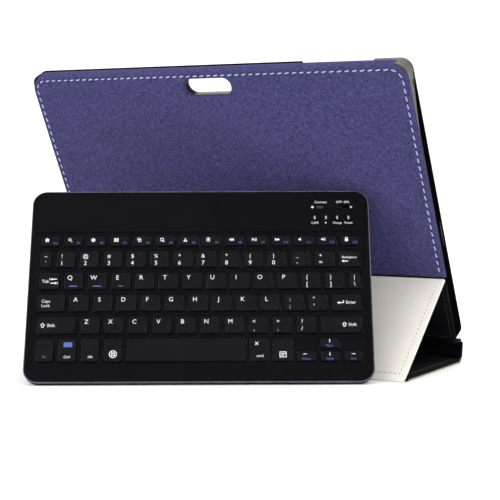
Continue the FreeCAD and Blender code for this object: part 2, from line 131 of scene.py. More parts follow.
TRAY_UP = Vector((0, -math.sin(RECLINE), math.cos(RECLINE)))
canvas_space = at_corner_of("back_canvas", RIGHT, TRAY_UP)
canvas_size = local_box("back_canvas", canvas_space)[1]
TRAY = canvas_space @ Matrix.Translation((canvas_size.x / 2, 0, canvas_size.z))
HALF_WIDTH = canvas_size.x / 2
PANEL_HEIGHT = canvas_size.y
TRAY_LOW_EDGE = local_box("holder_frame", TRAY)[0].y
SLOT_Y = sum(c.y for c in local_box("slot_collar", TRAY)) / 2

heel, foot, hinge = (fold_point(n) for n in ("cover_fold_heel", "cover_fold_foot", "cover_swing"))
ledge = TRAY.translation
flap_up = (ledge - heel).normalized()
FLAP = local_space(RIGHT, flap_up, heel)
FLAP_TOP = local_box("flap_skin", FLAP)[1].y
BASE = local_space(RIGHT, Vector((0, 1, 0)), Vector((0, heel.y, 0)))
BASE_END = local_box("base_skin", BASE)[1].y
SPINE = local_space(RIGHT, (foot - hinge).normalized(), hinge)
FLAP_RISE = math.atan2(flap_up.z, flap_up.y)
MITRE = 1 / math.tan(FLAP_RISE / 2)

turn = Matrix.Rotation(KEYBOARD_TURN, 3, "Z") @ Matrix.Rotation(math.pi / 2 - KEYBOARD_LEAN, 3, "X")
KEYBOARD = at_corner_of("keyboard_shell", turn @ RIGHT, turn @ Vector((0, 1, 0)))
keyboard_size = local_box("keyboard_shell", KEYBOARD)[1]


# ---- materials ----

def srgb(red, green, blue):
    """Linear colour from 0-255 display values."""
    def linear(value):
        value /= 255
        return value / 12.92 if value < 0.04045 else ((value + 0.055) / 1.055) ** 2.4
    return (linear(red), linear(green), linear(blue), 1.0)


class Finish:
    """One node material, with the few calls that its nodes need."""

    def __init__(self, name, space=None):
        self.material = bpy.data.materials.new(name)
        self.material.use_nodes = True
        self.tree = self.material.node_tree
        self.shader = self.tree.nodes["Principled BSDF"]
        coords = self.node("ShaderNodeTexCoord").outputs["Object"]
        back = space.inverted() if space else Matrix.Scale(1 / MM, 4)
        where, rotation, scale = back.decompose()
        self.where = self.node("ShaderNodeMapping", Vector=coords, Location=where,
                               Rotation=rotation.to_euler(), Scale=scale).outputs[0]

    def node(self, kind, settings=None, **inputs):
        made = self.tree.nodes.new(kind)
        for key, value in (settings or {}).items():
            setattr(made, key, value)
        for key, value in inputs.items():
            self.put(made.inputs[key], value)
        return made

    def put(self, socket, value):
        if isinstance(value, bpy.types.NodeSocket):
            self.tree.links.new(value, socket)
        else:
            socket.default_value = value

    def math(self, operation, first, second=0.0, third=0.0):
        made = self.node("ShaderNodeMath", {"operation": operation})
        for socket, value in zip(made.inputs, (first, second, third)):
            self.put(socket, value)
        return made.outputs[0]

    def times(self, first, second):
        return self.math("MULTIPLY", first, second)

    def scaled(self, value, factor, offset):
        """Value times factor plus offset."""
        return self.math("MULTIPLY_ADD", value, factor, offset)

    def mix(self, factor, first, second):
        made = self.node("ShaderNodeMix", {"data_type": "RGBA"})
        for socket, value in ((made.inputs[0], factor), (made.inputs[6], first), (made.inputs[7], second)):
            self.put(socket, value)
        return made.outputs[2]

    def noise(self, size, detail=3.0, stretch=(1, 1, 1)):
        """Noise from 0 to 1 whose blots are about size millimetres, drawn out along each axis by stretch."""
        scale = [1 / (size * s) for s in stretch]
        where = self.node("ShaderNodeMapping", Vector=self.where, Scale=scale).outputs[0]
        return self.node("ShaderNodeTexNoise", Vector=where, Scale=1.0, Detail=detail, Roughness=0.55).outputs[0]

    def spread(self, value, low, high):
        """Value mapped so that low gives 0 and high gives 1, with no overshoot."""
        return self.node("ShaderNodeMapRange", Value=value, **{"From Min": low, "From Max": high}).outputs[0]

    def axes(self):
        return self.node("ShaderNodeSeparateXYZ", Vector=self.where).outputs

    def bump(self, height, depth):
        """Raises the surface by height times depth millimetres."""
        return self.node("ShaderNodeBump", Height=height, Distance=depth * MM, Strength=1.0).outputs[0]

    def surface(self, **inputs):
        for key, value in inputs.items():
            self.put(self.shader.inputs[key.replace("_", " ")], value)
        return self.material


def grained(name, dark, light, grain, depth, rough, **inputs):
    """Moulded, painted or pressed surface: blotchy colour, a fine grain and uneven gloss."""
    finish = Finish(name)
    blot = finish.spread(finish.noise(14.0), 0.3, 0.7)
    fine = finish.noise(grain, detail=2.0)
    colour = finish.mix(finish.scaled(fine, 0.4, finish.times(blot, 0.6)), dark, light)
    roughness = finish.scaled(blot, 0.12, rough - 0.06)
    return finish.surface(Base_Color=colour, Roughness=roughness, Normal=finish.bump(fine, depth), **inputs)


def leather(name, dark, light, pore, depth, rough, **inputs):
    """Pebbled leather: round grains with creases between them, and faint clouds of colour."""
    finish = Finish(name)
    warp = finish.node("ShaderNodeVectorMath", {"operation": "ADD"})
    finish.put(warp.inputs[0], finish.where)
    finish.put(warp.inputs[1], finish.node("ShaderNodeTexNoise", Vector=finish.where, Scale=0.5 / pore).outputs[1])
    cells = finish.node("ShaderNodeTexVoronoi", {"feature": "DISTANCE_TO_EDGE"}, Vector=warp.outputs[0],
                        Scale=1 / pore).outputs["Distance"]
    pebble = finish.spread(cells, 0.0, 0.35)
    cloud = finish.spread(finish.noise(22.0), 0.25, 0.75)
    crease = finish.scaled(pebble, 0.45, finish.times(cloud, 0.55))
    height = finish.scaled(finish.noise(pore * 0.4), 0.3, pebble)
    roughness = finish.scaled(pebble, -0.14, rough + 0.1)
    return finish.surface(Base_Color=finish.mix(crease, dark, light), Roughness=roughness,
                          Normal=finish.bump(height, depth), **inputs)


def canvas_weave():
    """Heathered linen: crossing threads of uneven thickness and shade, with slubs both ways."""
    finish = Finish("canvas_weave", TRAY)
    x, y, z = finish.axes()
    across = finish.math("SUBTRACT", x, z)
    along = finish.math("SUBTRACT", y, z)
    thread = 2 * math.pi / THREAD_PITCH
    wander = finish.noise(9.0)
    warp = finish.math("SINE", finish.scaled(across, thread, finish.times(wander, 5.0)))
    weft = finish.math("SINE", finish.scaled(along, thread, finish.times(wander, 4.0)))
    over = finish.times(warp, weft)
    weave = finish.scaled(over, 0.5, 0.5)
    slub_up = finish.spread(finish.noise(THREAD_PITCH, 2.0, (1, 5, 1)), 0.36, 0.64)
    slub_across = finish.spread(finish.noise(THREAD_PITCH, 2.0, (5, 1, 1)), 0.36, 0.64)
    cloud = finish.spread(finish.noise(26.0, 2.0), 0.3, 0.7)
    shade = finish.scaled(slub_up, 0.36, finish.times(slub_across, 0.36))
    shade = finish.scaled(weave, 0.22, shade)
    shade = finish.scaled(cloud, 0.06, shade)
    deep, pale = srgb(34, 33, 68), srgb(83, 81, 128)
    colour = finish.mix(finish.spread(shade, 0.1, 0.9), deep, pale)
    warmer = finish.spread(finish.noise(1.2, 2.0, (1, 4, 1)), 0.55, 0.75)
    colour = finish.mix(finish.times(warmer, 0.22), colour, srgb(86, 70, 112))
    height = finish.scaled(shade, 1.2, finish.times(over, 0.5))
    return finish.surface(Base_Color=colour, Roughness=0.92, Normal=finish.bump(height, 0.09),
                          Specular_IOR_Level=0.12)


def frame_paint_and_highlights():
    """Black frame paintwork with painted light round the upper right corner: a warm grey satin highlight where the
    side catches the light, and a pale highlight line near the canvas edge.
    """
    finish = Finish("frame_paint_and_highlights", TRAY)
    x, y, z = finish.axes()
    # painted highlight: reach grows towards the top and the right, where the side is drawn lit warm grey instead of
    # black
    reach = finish.math("POWER", finish.spread(y, 20.0, 160.0), 3.0)
    reach = finish.times(reach, finish.spread(x, 60.0, 125.0))
    edge = finish.scaled(reach, -12.0, 0.6)
    black = finish.spread(finish.math("SUBTRACT", edge, z), -0.2, 0.2)
    streak = finish.noise(3.0, 3.0, (1, 12, 0.3))
    # warm grey: painted light on the lit part of the side
    warm = finish.mix(finish.spread(streak, 0.3, 0.7), srgb(52, 47, 40), srgb(88, 80, 68))
    # painted highlight: a pale line just behind the canvas face, fading in towards the upper right corner
    line = finish.times(finish.spread(z, -2.9, -2.3), finish.spread(z, -0.9, -1.3))
    fade = finish.times(finish.spread(y, -20.0, 160.0), finish.spread(x, 60.0, 125.0))
    pale = finish.times(line, finish.math("POWER", fade, 2.0))
    colour = finish.mix(black, warm, srgb(6, 5, 6))
    colour = finish.mix(pale, colour, srgb(104, 96, 84))
    roughness = finish.scaled(streak, 0.18, finish.scaled(black, 0.1, 0.24))
    metal = finish.scaled(black, -0.4, 0.4)
    gloss = finish.scaled(black, -0.25, 0.25)
    grain = finish.bump(finish.noise(0.35, 2.0), 0.012)
    return finish.surface(Base_Color=colour, Roughness=roughness, Metallic=metal, Normal=grain,
                          Specular_IOR_Level=gloss)


def collar_lit_and_shaded():
    """Slot liner with painted light: tan on its lower wall as if lit from above, dark at its left end as painted
    shade, and dark elsewhere.
    """
    finish = Finish("collar_lit_and_shaded", TRAY)
    x, y, z = finish.axes()
    # painted light: the lower wall, away from the left end, is drawn lit, paler deeper down; the left end stays dark
    # as painted shade
    low = finish.spread(finish.math("SUBTRACT", SLOT_Y - 1.5, y), 0.0, 3.0)
    tan = finish.mix(finish.spread(z, -9.0, -1.0), srgb(214, 206, 178), srgb(112, 96, 92))
    side = finish.spread(finish.math("ADD", x, 14.5), 0.0, 3.0)
    colour = finish.mix(finish.times(low, side), srgb(4, 3, 5), tan)
    fine = finish.noise(0.5, 2.0)
    return finish.surface(Base_Color=colour, Roughness=finish.scaled(fine, 0.2, 0.5),
                          Normal=finish.bump(fine, 0.02), Specular_IOR_Level=0.1)


def twisted_thread(name, dark, light):
    """Sewing thread with its plies showing."""
    finish = Finish(name)
    strand = finish.spread(finish.noise(0.45, 2.0), 0.35, 0.65)
    return finish.surface(Base_Color=finish.mix(strand, dark, light), Roughness=0.75,
                          Normal=finish.bump(strand, 0.05), Sheen_Weight=0.2)


def printed(name, colour, worn):
    """Silk-screened print, a little uneven."""
    finish = Finish(name)
    speck = finish.spread(finish.noise(0.3, 2.0), 0.25, 0.6)
    return finish.surface(Base_Color=finish.mix(speck, worn, colour), Roughness=0.5,
                          Normal=finish.bump(speck, 0.004))


weave = canvas_weave()
lit_frame_paint = frame_paint_and_highlights()
collar = collar_lit_and_shaded()
seam_thread = twisted_thread("seam_thread", srgb(128, 142, 186), srgb(196, 206, 234))
beige_thread = twisted_thread("beige_thread", srgb(150, 142, 134), srgb(186, 178, 168))
black_thread = twisted_thread("black_thread", srgb(14, 13, 17), srgb(30, 28, 34))
# darker canvas colour: painted shade inside the needle holes
needle_hole_shade = grained("needle_hole_shade", srgb(20, 18, 38), srgb(32, 30, 56), 0.4, 0.01, 0.9)
cream = leather("cream_leather", srgb(214, 209, 200), srgb(232, 228, 220), 0.75, 0.03, 0.62,
                Specular_IOR_Level=0.3)
black_hide = leather("black_leather", srgb(6, 5, 8), srgb(15, 13, 17), 0.8, 0.05, 0.5, Specular_IOR_Level=0.15)
suede = grained("microfibre", srgb(5, 4, 8), srgb(14, 13, 17), 0.35, 0.05, 0.95, Specular_IOR_Level=0.06)
# tan: the cream leather's edge in painted shade near the floor
shaded_cream_edge = grained("shaded_cream_edge", srgb(118, 104, 74), srgb(160, 146, 112), 0.4, 0.03, 0.6)
pale_board = grained("board", srgb(186, 172, 158), srgb(222, 212, 200), 0.5, 0.03, 0.7)
deck_plastic = grained("keyboard_plastic", srgb(5, 5, 8), srgb(11, 11, 15), 0.25, 0.012, 0.5,
                       Specular_IOR_Level=0.04)
key_plastic = grained("key_plastic", srgb(9, 8, 12), srgb(15, 14, 19), 0.22, 0.014, 0.36,
                      Specular_IOR_Level=0.07)
# grey on the black keyboard: a painted highlight along its edges
rim_highlight = grained("rim_highlight", srgb(60, 58, 70), srgb(92, 90, 104), 0.3, 0.006, 0.3)
button_gloss = grained("button_gloss", srgb(22, 24, 34), srgb(34, 36, 48), 0.3, 0.006, 0.3,
                       Specular_IOR_Level=0.3)
white_print = printed("white_print", srgb(232, 232, 238), srgb(176, 176, 186))
blue_print = printed("blue_print", srgb(66, 96, 172), srgb(46, 68, 126))
lens_glass = grained("light_pipe", srgb(150, 154, 164), srgb(196, 200, 210), 0.3, 0.004, 0.2,
                     Coat_Weight=0.5, Transmission_Weight=0.2)
rubber = grained("rubber", srgb(20, 20, 21), srgb(34, 34, 36), 0.3, 0.03, 0.8)
steel = grained("sheet_steel", srgb(120, 122, 126), srgb(168, 170, 174), 0.4, 0.01, 0.3, Metallic=1.0)
magnet = grained("magnet", srgb(110, 112, 118), srgb(150, 152, 158), 0.3, 0.01, 0.28, Metallic=1.0)
membrane = grained("membrane", srgb(150, 156, 148), srgb(190, 196, 188), 0.6, 0.01, 0.5)
pouch = grained("battery_pouch", srgb(150, 152, 158), srgb(196, 198, 204), 1.2, 0.05, 0.35, Metallic=0.6)
pcb = grained("pcb", srgb(16, 62, 38), srgb(30, 92, 56), 0.6, 0.02, 0.4)
backdrop = grained("backdrop", srgb(244, 244, 245), srgb(251, 251, 251), 4.0, 0.01, 0.9)

CAD_FINISHES = {
    "canvas": weave, "board": pale_board, "frame_gloss": lit_frame_paint, "collar": collar, "shell_black": suede,
    "black_leather": black_hide, "cream_leather": cream, "microfibre": suede, "magnet": magnet,
    "keyboard_plastic": deck_plastic, "key_plastic": key_plastic, "sheet_steel": steel,
    "membrane": membrane, "battery_pouch": pouch, "pcb": pcb, "light_pipe": lens_glass, "rubber": rubber,
}
PAINTED_EDGES = ("tray_back", "back_board")    # their edges show, and match the frame


def paint_cad_nodes():
    """Gives every CAD node the finish of its material slot."""
    slots = {part["node"]: part["material_slot"] for part in frame["record"]["subparts"]}
    for name, node in frame["nodes"].items():
        node.data.materials.clear()
        node.data.materials.append(lit_frame_paint if name in PAINTED_EDGES else CAD_FINISHES[slots[name]])


# ---- mesh building ----

def place(name, data):
    """New object in the scene."""
    made = bpy.data.objects.new(name, data)
    bpy.context.scene.collection.objects.link(made)
    return made


class Shape:
    """Vertices and faces of one piece, gathered in a local space."""

    def __init__(self, space):
        self.space = space
        self.points = []
        self.faces = []

    def add(self, points):
        start = len(self.points)
        self.points.extend(Vector(p) for p in points)
        return list(range(start, len(self.points)))

    def bridge(self, ring, following):
        """Quads between two rings of as many points."""
        for i in range(len(ring)):
            j = (i + 1) % len(ring)
            self.faces.append((ring[i], ring[j], following[j], following[i]))

    def loft(self, rings):
        """Closed body through the rings, which turn counter-clockwise seen from the last one."""
        made = [self.add(ring) for ring in rings]
        for ring, following in zip(made, made[1:]):
            self.bridge(ring, following)
        self.faces.append(tuple(reversed(made[0])))
        self.faces.append(tuple(made[-1]))

    def loop(self, rings):
        """Tube through the rings that closes on itself."""
        made = [self.add(ring) for ring in rings]
        for ring, following in zip(made, made[1:] + made[:1]):
            self.bridge(ring, following)

    def piece(self, name, material, slot, body=None, sharp=50.0):
        mesh = bpy.data.meshes.new(name)
        mesh.from_pydata([self.space @ p for p in self.points], [], self.faces)
        mesh.validate()
        mesh.shade_smooth()
        mesh.set_sharp_from_angle(angle=math.radians(sharp))
        mesh.materials.append(material)
        made = place(name, mesh)
        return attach(made, body) if body else made


def facing_out(piece):
    """Turns a closed mesh's faces outwards, where they point inwards."""
    volume = 0.0
    for face in piece.data.polygons:
        first = piece.data.vertices[face.vertices[0]].co
        for i in range(1, len(face.vertices) - 1):
            second, third = (piece.data.vertices[face.vertices[i + j]].co for j in (0, 1))
            volume += first.dot(second.cross(third))
    if volume < 0:
        piece.data.flip_normals()
    return piece


def thicken(piece, thickness):
    """Makes a closed skin of an open surface, inwards."""
    solid = piece.modifiers.new("thickness", "SOLIDIFY")
    solid.thickness = thickness * MM
    solid.offset = -1
    return piece


def turns(count):
    """Cosine and sine of count equal turns round a circle."""
    return [(math.cos(2 * math.pi * i / count), math.sin(2 * math.pi * i / count)) for i in range(count)]


def rounded_ring(left, right, low, high, radii, step):
    """Points (x, y, outward x, outward y) round a rectangle, counter-clockwise from its lower right arc.

    radii is (lower corners, upper corners). The number of points doesn't depend on the radii.
    """
    low_radius, high_radius = radii
    across = max(2, round((right - left) / step))
    along = max(2, round((high - low) / step))
    arc_steps = 8

    def arc_middle(x, y, radius):
        return Vector((x - radius if x == right else x + radius, y + radius if y == low else y - radius))

    def outward(degrees):
        return Vector((math.cos(math.radians(degrees)), math.sin(math.radians(degrees))))

    ring = []
    stops = [(right, low, low_radius, -90, along), (right, high, high_radius, 0, across),
             (left, high, high_radius, 90, along), (left, low, low_radius, 180, across)]
    for index, (x, y, radius, start, count) in enumerate(stops):
        middle = arc_middle(x, y, radius)
        for i in range(arc_steps + 1):
            out = outward(start + 90 * i / arc_steps)
            ring.append((*(middle + radius * out), *out))
        next_x, next_y, next_radius, _, _ = stops[(index + 1) % 4]
        out = outward(start + 90)
        leave, arrive = middle + radius * out, arc_middle(next_x, next_y, next_radius) + next_radius * out
        for i in range(1, count):
            ring.append((*leave.lerp(arrive, i / count), *out))
    return ring


def level_ring(box, inset, radius, z, step=9.0):
    """Points at height z round a rectangle with equal corners, inset from a box of (left, right, low, high)."""
    left, right, low, high = box
    ring = rounded_ring(left + inset, right - inset, low + inset, high - inset, (radius, radius), step)
    return [(x, y, z) for x, y, _, _ in ring]


class Outline:
    """Rectangle with rounded corners, and how deep inside it a point is."""

    def __init__(self, left, right, low, high, radii):
        self.box = (left, right, low, high)
        self.radii = radii

    def ring(self, inset, step):
        left, right, low, high = self.box
        radii = [max(r - inset, 0.05) for r in self.radii]
        return rounded_ring(left + inset, right - inset, low + inset, high - inset, radii, step)

    def depth(self, x, y):
        left, right, low, high = self.box
        radius = self.radii[1] if y > (low + high) / 2 else self.radii[0]
        dx = abs(x - (left + right) / 2) - (right - left) / 2 + radius
        dy = abs(y - (low + high) / 2) - (high - low) / 2 + radius
        return radius - math.hypot(max(dx, 0), max(dy, 0)) - min(max(dx, dy), 0)

    def above(self, rise, lift):
        """Function of x and y that gives the height lift above a face."""
        return lambda x, y: rise(x, y, self.depth(x, y)) + lift


def smooth(value, low, high):
    """0 up to low, 1 from high on, and a soft step between them."""
    t = min(max((value - low) / (high - low), 0), 1)
    return t * t * (3 - 2 * t)


def edge_drop(depth, radius):
    """How far a rounded edge of that radius falls away at a depth inside the outline."""
    inside = max(radius - max(depth, 0), 0)
    return radius - math.sqrt(max(radius * radius - inside * inside, 0))


def straight(*rings):
    """Wall for upholstered whose (offset, height) rings are the same all round."""
    return [lambda out_x, out_y, ring=ring: ring for ring in rings]


def upholstered(name, space, outline, material, slot, body, rise, wall, hole=None, grid=3.0, step=2.0,
                bands=(0.35, 0.8, 1.4, 2.2), skin=0.5):
    """Panel of cloth or leather over a board, as one closed skin.

    rise(x, y, depth) is the face's height. wall is a list of functions of a rim point's outward x and y;
    each gives the next ring's (outward offset, height). hole is an Outline and the same pairs for its tuck.
    """
    shape = Shape(space)
    loops = [outline.ring(inset, step) for inset in (0.0, *bands)]
    if hole:
        hole_outline, tuck = hole
        loops += [hole_outline.ring(-inset, 1.0) for inset in (0.0, *bands[:2])]
    flat, edges = [], []
    for loop in loops:
        start = len(flat)
        flat += [Vector(p[:2]) for p in loop]
        edges += [(start + i, start + (i + 1) % len(loop)) for i in range(len(loop))]
    left, right, low, high = outline.box
    columns, rows = round((right - left) / grid), round((high - low) / grid)
    for i in range(1, columns):
        for j in range(1, rows):
            x, y = left + (right - left) * i / columns, low + (high - low) * j / rows
            clear = outline.depth(x, y) > bands[-1] + grid / 3
            if hole:
                clear = clear and hole_outline.depth(x, y) < -bands[1] - grid / 3
            if clear:
                flat.append(Vector((x, y)))
    points, _, triangles, sources, _, _ = geometry.delaunay_2d_cdt(flat, edges, [], 0, 1e-5)
    shape.add((p.x, p.y, rise(p.x, p.y, outline.depth(p.x, p.y))) for p in points)
    for triangle in triangles:
        middle = sum((points[i] for i in triangle), Vector((0, 0))) / 3
        if outline.depth(*middle) > 0 and not (hole and hole_outline.depth(*middle) > 0):
            shape.faces.append(tuple(triangle))
    new_index = {original: index for index, source in enumerate(sources) for original in source}
    rim = [new_index[i] for i in range(len(loops[0]))]
    for ring_at in wall:
        ring = []
        for x, y, out_x, out_y in loops[0]:
            offset, height = ring_at(out_x, out_y)
            ring.append((x + out_x * offset, y + out_y * offset, height))
        following = shape.add(ring)
        shape.bridge(following, rim)
        rim = following
    if hole:
        start = sum(len(loop) for loop in loops[:1 + len(bands)])
        hole_loop = loops[1 + len(bands)]
        rim = [new_index[start + i] for i in range(len(hole_loop))]
        for offset, height in tuck:
            ring = [(x - out_x * offset, y - out_y * offset, height) for x, y, out_x, out_y in hole_loop]
            following = shape.add(ring)
            shape.bridge(rim, following)
            rim = following
    piece = shape.piece(name, material, slot, body)
    return thicken(piece, skin)


def walk(points, pitch):
    """(x, y, direction) every pitch along a line of points."""
    steps = []
    carried = pitch / 2
    for a, b in zip(points, points[1:]):
        leg = b - a
        while carried < leg.length:
            spot = a + leg * (carried / leg.length)
            steps.append((spot.x, spot.y, math.atan2(leg.y, leg.x)))
            carried += pitch
        carried -= leg.length
    return steps


def seam_line(outline, inset, open_side=None):
    """Line at a depth of inset inside an outline: all round, or without its "low" or "high" side."""
    ring = [Vector(p[:2]) for p in outline.ring(inset, 1.0)]
    if not open_side:
        return ring + ring[:1]
    _, _, low, high = outline.box
    skipped = low + inset if open_side == "low" else high - inset
    keep = [abs(p.y - skipped) > 0.01 for p in ring]
    first = next(i for i in range(len(ring)) if keep[i] and not keep[i - 1])
    return [p for p, kept in zip(ring[first:] + ring[:first], keep[first:] + keep[:first]) if kept]


BEAD_PROFILE = [(-1.0, 0.12), (-0.86, 0.62), (-0.45, 1.0), (0.45, 1.0), (0.86, 0.62), (1.0, 0.12)]    # along, girth
BEAD_SUNK = 0.35           # share of a bead's height that lies in the face


def beads(shape, spots, length, width, height, base, slant=0.0):
    """Row of small rounded bars lying on a face: stitches, ribs or marks."""
    for x, y, angle in spots:
        direction = Vector((math.cos(angle + slant), math.sin(angle + slant)))
        across = Vector((-direction.y, direction.x))
        rings = []
        for along, girth in BEAD_PROFILE:
            middle = Vector((x, y)) + direction * (along * length / 2)
            ring = []
            for cosine, sine in turns(8):
                side = across * (cosine * width / 2 * girth)
                up = sine * height * girth + height * (girth - BEAD_SUNK)
                ring.append((middle.x + side.x, middle.y + side.y, base(x, y) + up))
            rings.append(ring)
        shape.loft(rings)


def sew(name, space, line, pitch, length, width, height, base, material, slot, body, slant=0.0):
    """Seam of stitches along a line, each of that length, width and height, on the face that base gives."""
    shape = Shape(space)
    beads(shape, walk(line, pitch), length, width, height, base, slant)
    return shape.piece(name, material, slot, body)


def rod(shape, start, length, section):
    """Closed ten-sided bar, with section(place along it, cosine, sine) for its points."""
    stations = [start + length * i / 40 for i in range(41)]
    shape.loft([[section(at, *turn) for turn in turns(10)] for at in stations])


def band_section(path, thickness):
    """Closed section of a strip that follows a line of (y, z) points, with thickness to its left."""
    inner = []
    for i, point in enumerate(path):
        before, after = path[max(i - 1, 0)], path[min(i + 1, len(path) - 1)]
        run = (after - before).normalized()
        inner.append(point + Vector((-run.y, run.x)) * thickness)
    return list(path) + inner[::-1]


def strip(name, path, thickness, half, material, slot):
    """Leather strip across the case's width, of a section in the row frame's Y and Z, in millimetres."""
    shape = Shape(Matrix.Scale(MM, 4))
    section = band_section(path, thickness)
    middle = sum(section, Vector((0, 0))) / len(section)
    columns = 24
    stations = [(-half, 0.9), (-half + 0.4, 1.0)]      # place across, size of the section there
    stations += [(-half + 2 * half * i / columns, 1.0) for i in range(1, columns)]
    stations += [(half - 0.4, 1.0), (half, 0.9)]
    shape.loft([[(x, *(middle + (p - middle) * scale)) for p in section] for x, scale in stations])
    return facing_out(shape.piece(name, material, slot, sharp=60.0))


# ---- case ----

def canvas_panel():
    """Canvas over thin padding: sewn round three sides, rolled over the top edge and tucked into the slot."""
    outline = Outline(-HALF_WIDTH, HALF_WIDTH, 0.0, PANEL_HEIGHT, (1.2, CANVAS_CORNER))
    slot_hole = Outline(-SLOT_LENGTH / 2, SLOT_LENGTH / 2, SLOT_Y - SLOT_WIDTH / 2, SLOT_Y + SLOT_WIDTH / 2,
                        (SLOT_WIDTH / 2 - 0.01, SLOT_WIDTH / 2 - 0.01))
    edge_radius, lip_radius = 1.5, 1.2
    crown_height, crown_reach = 0.75, 22.0
    welt_depth, pucker_depth = 2.3, 5.5      # inside the outline; the seam lies between them
    unsewn = 99.0                            # a depth far from any seam, for the low side

    def rise(x, y, depth):
        crown = crown_height * smooth(depth, SEAM_INSET, crown_reach) + 0.35
        seam_depth = depth if y > SEAM_INSET else unsewn
        groove = 0.42 * math.exp(-((seam_depth - SEAM_INSET) / 1.0) ** 2)
        welt = 0.35 * math.exp(-((seam_depth - welt_depth) / 1.1) ** 2)
        pucker = 0.06 * math.sin(2 * math.pi * (x + y) / STITCH_PITCH)
        pucker *= math.exp(-((seam_depth - pucker_depth) / 3) ** 2)
        slack = 0.14 * noise.noise(Vector((x, y, 0)) / 42.0)
        lip = edge_drop(-slot_hole.depth(x, y), lip_radius)
        return crown + welt - groove + pucker + slack - edge_drop(depth, edge_radius) - lip

    def turned_over(share):
        def ring(out_x, out_y):
            over = smooth(out_y, 0.25, 0.98)
            reach = CANVAS_TURN + (CANVAS_ROLL - CANVAS_TURN) * over
            puff = (0.25 + 0.75 * over) * math.sin(math.pi * min(share, 0.97)) ** 0.7
            return puff, -1.0 - (reach - 1.0) * share
        return ring

    wall = [turned_over(share) for share in (0.15, 0.35, 0.55, 0.75, 0.9, 1.0)]
    wall.append(lambda out_x, out_y: (-0.5, turned_over(1.0)(out_x, out_y)[1] + 0.1))
    panel = upholstered("canvas_panel", TRAY, outline, weave, "canvas", "tray", rise, wall,
                        hole=(slot_hole, [(0.15, -1.0), (0.05, -1.7)]),
                        bands=(0.3, 0.7, 1.2, 1.8, 2.6, 3.2, 3.7, 4.2, 4.9, 5.9, 7.2, 9.0), step=1.35)
    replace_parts(panel, "back_canvas")

    face = outline.above(rise, 0.0)
    line = seam_line(outline, SEAM_INSET, open_side="low")
    sew("canvas_stitches", TRAY, line, STITCH_PITCH, 3.8, 0.95, 0.38, outline.above(rise, 0.12),
        seam_thread, "canvas", "tray", slant=0.16)
    # dark spots between the stitches: painted shade inside the needle holes
    holes = Shape(TRAY)
    half = STITCH_PITCH / 2
    between = [(x + math.cos(a) * half, y + math.sin(a) * half, a) for x, y, a in walk(line, STITCH_PITCH)]
    beads(holes, between[:-1], 1.0, 0.95, 0.12, face)
    holes.piece("canvas_needle_hole_shade", needle_hole_shade, "canvas", "tray")


def ledge_binding():
    """Dark folded edge under the canvas, over the flap's end."""
    shape = Shape(TRAY)
    half = HALF_WIDTH - 1.5
    rod(shape, -half, 2 * half, lambda x, cosine, sine: (x, -0.25 + 0.35 * cosine, -0.45 + 0.5 * sine))
    facing_out(shape.piece("ledge_binding", black_hide, "black_leather", "tray"))


def simple_rise(crown, reach, edge_radius, seam=None, slack=0.06):
    """Height of a lightly padded face, with a sewn line at a depth of seam."""
    def rise(x, y, depth):
        height = crown * smooth(depth, 0, reach) - edge_drop(depth, edge_radius)
        if seam:
            height -= 0.16 * math.exp(-((depth - seam) / 0.7) ** 2)
        return height + slack * noise.noise(Vector((x, y, 7.0)) / 30.0)
    return rise


def lower_back_leather():
    """Leather under the ledge, down to the hinge."""
    low, high = local_box("lower_back_panel", TRAY)
    top = high.z
    seam = 3.5
    padding = simple_rise(0.35, 6.0, 0.5, seam)

    def rise(x, y, depth):
        return top + padding(x, y, depth) - 0.1

    outline = Outline(low.x, high.x, low.y, high.y, (6.0, 0.8))
    wall = straight((0.05, top - 0.55))
    panel = upholstered("lower_back_leather", TRAY, outline, black_hide, "black_leather", "tray", rise, wall,
                        grid=4.0, step=3.0, skin=0.4)
    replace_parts(panel, "lower_back_panel")
    sew("lower_back_stitches", TRAY, seam_line(outline, seam, open_side="high"), 3.4, 2.4, 0.5, 0.22,
        outline.above(rise, 0.06), black_thread, "black_leather", "tray")


def tray_lining_pad():
    """Suede pad that the tablet lies on, with a pressed border."""
    space = TRAY @ BACKWARD
    low, high = local_box("tray_lining", space)
    top = high.z
    slot_hole = Outline(-SLOT_LENGTH / 2 - 1, SLOT_LENGTH / 2 + 1, -SLOT_Y - SLOT_WIDTH / 2 - 1,
                        -SLOT_Y + SLOT_WIDTH / 2 + 1, (SLOT_WIDTH / 2 + 0.98, SLOT_WIDTH / 2 + 0.98))
    padding = simple_rise(0.5, 14.0, 0.35)

    def rise(x, y, depth):
        border = 0.25 * math.exp(-((depth - 9.0) / 1.2) ** 2)
        lip = edge_drop(-slot_hole.depth(x, y), 0.4)
        return top + padding(x, y, depth) - border - lip

    outline = Outline(low.x, high.x, low.y, high.y, (4.0, 4.0))
    under = (0.0, top - 0.38)
    panel = upholstered("tray_lining_pad", space, outline, suede, "microfibre", "tray", rise, straight(under),
                        hole=(slot_hole, [under]), grid=4.0, step=3.0,
                        bands=(0.3, 0.8, 2.0, 7.5, 9.0, 10.5), skin=0.3)
    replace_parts(panel, "tray_lining")


def side_details():
    """Cut-outs in the frame's right wall and the pale strip in its top cut-out."""
    space = TRAY @ Matrix.Translation((HALF_WIDTH, 0, 0)) @ Matrix.Rotation(math.pi / 2, 4, "Y")
    # here x is the depth behind the canvas face, and z points out of the side
    shape = Shape(space)
    openings = ((6.6, 143.5, 6.5, 1.7), (7.0, 31.0, 20.0, 1.4))    # depth, place up the panel, length, width
    for x, y, length, width in openings:
        beads(shape, [(x, y, math.pi / 2)], length, width, 0.10, lambda a, b: 0.02)
    shape.piece("side_openings", black_hide, "frame_gloss", "tray")
    rail = Shape(TRAY)
    beads(rail, [(NOTCH_MIDDLE, PANEL_HEIGHT - 0.5, 0.0)], 53.0, 1.2, 1.1, lambda x, y: -8.7)
    rail.piece("notch_rail", pale_board, "board", "tray")


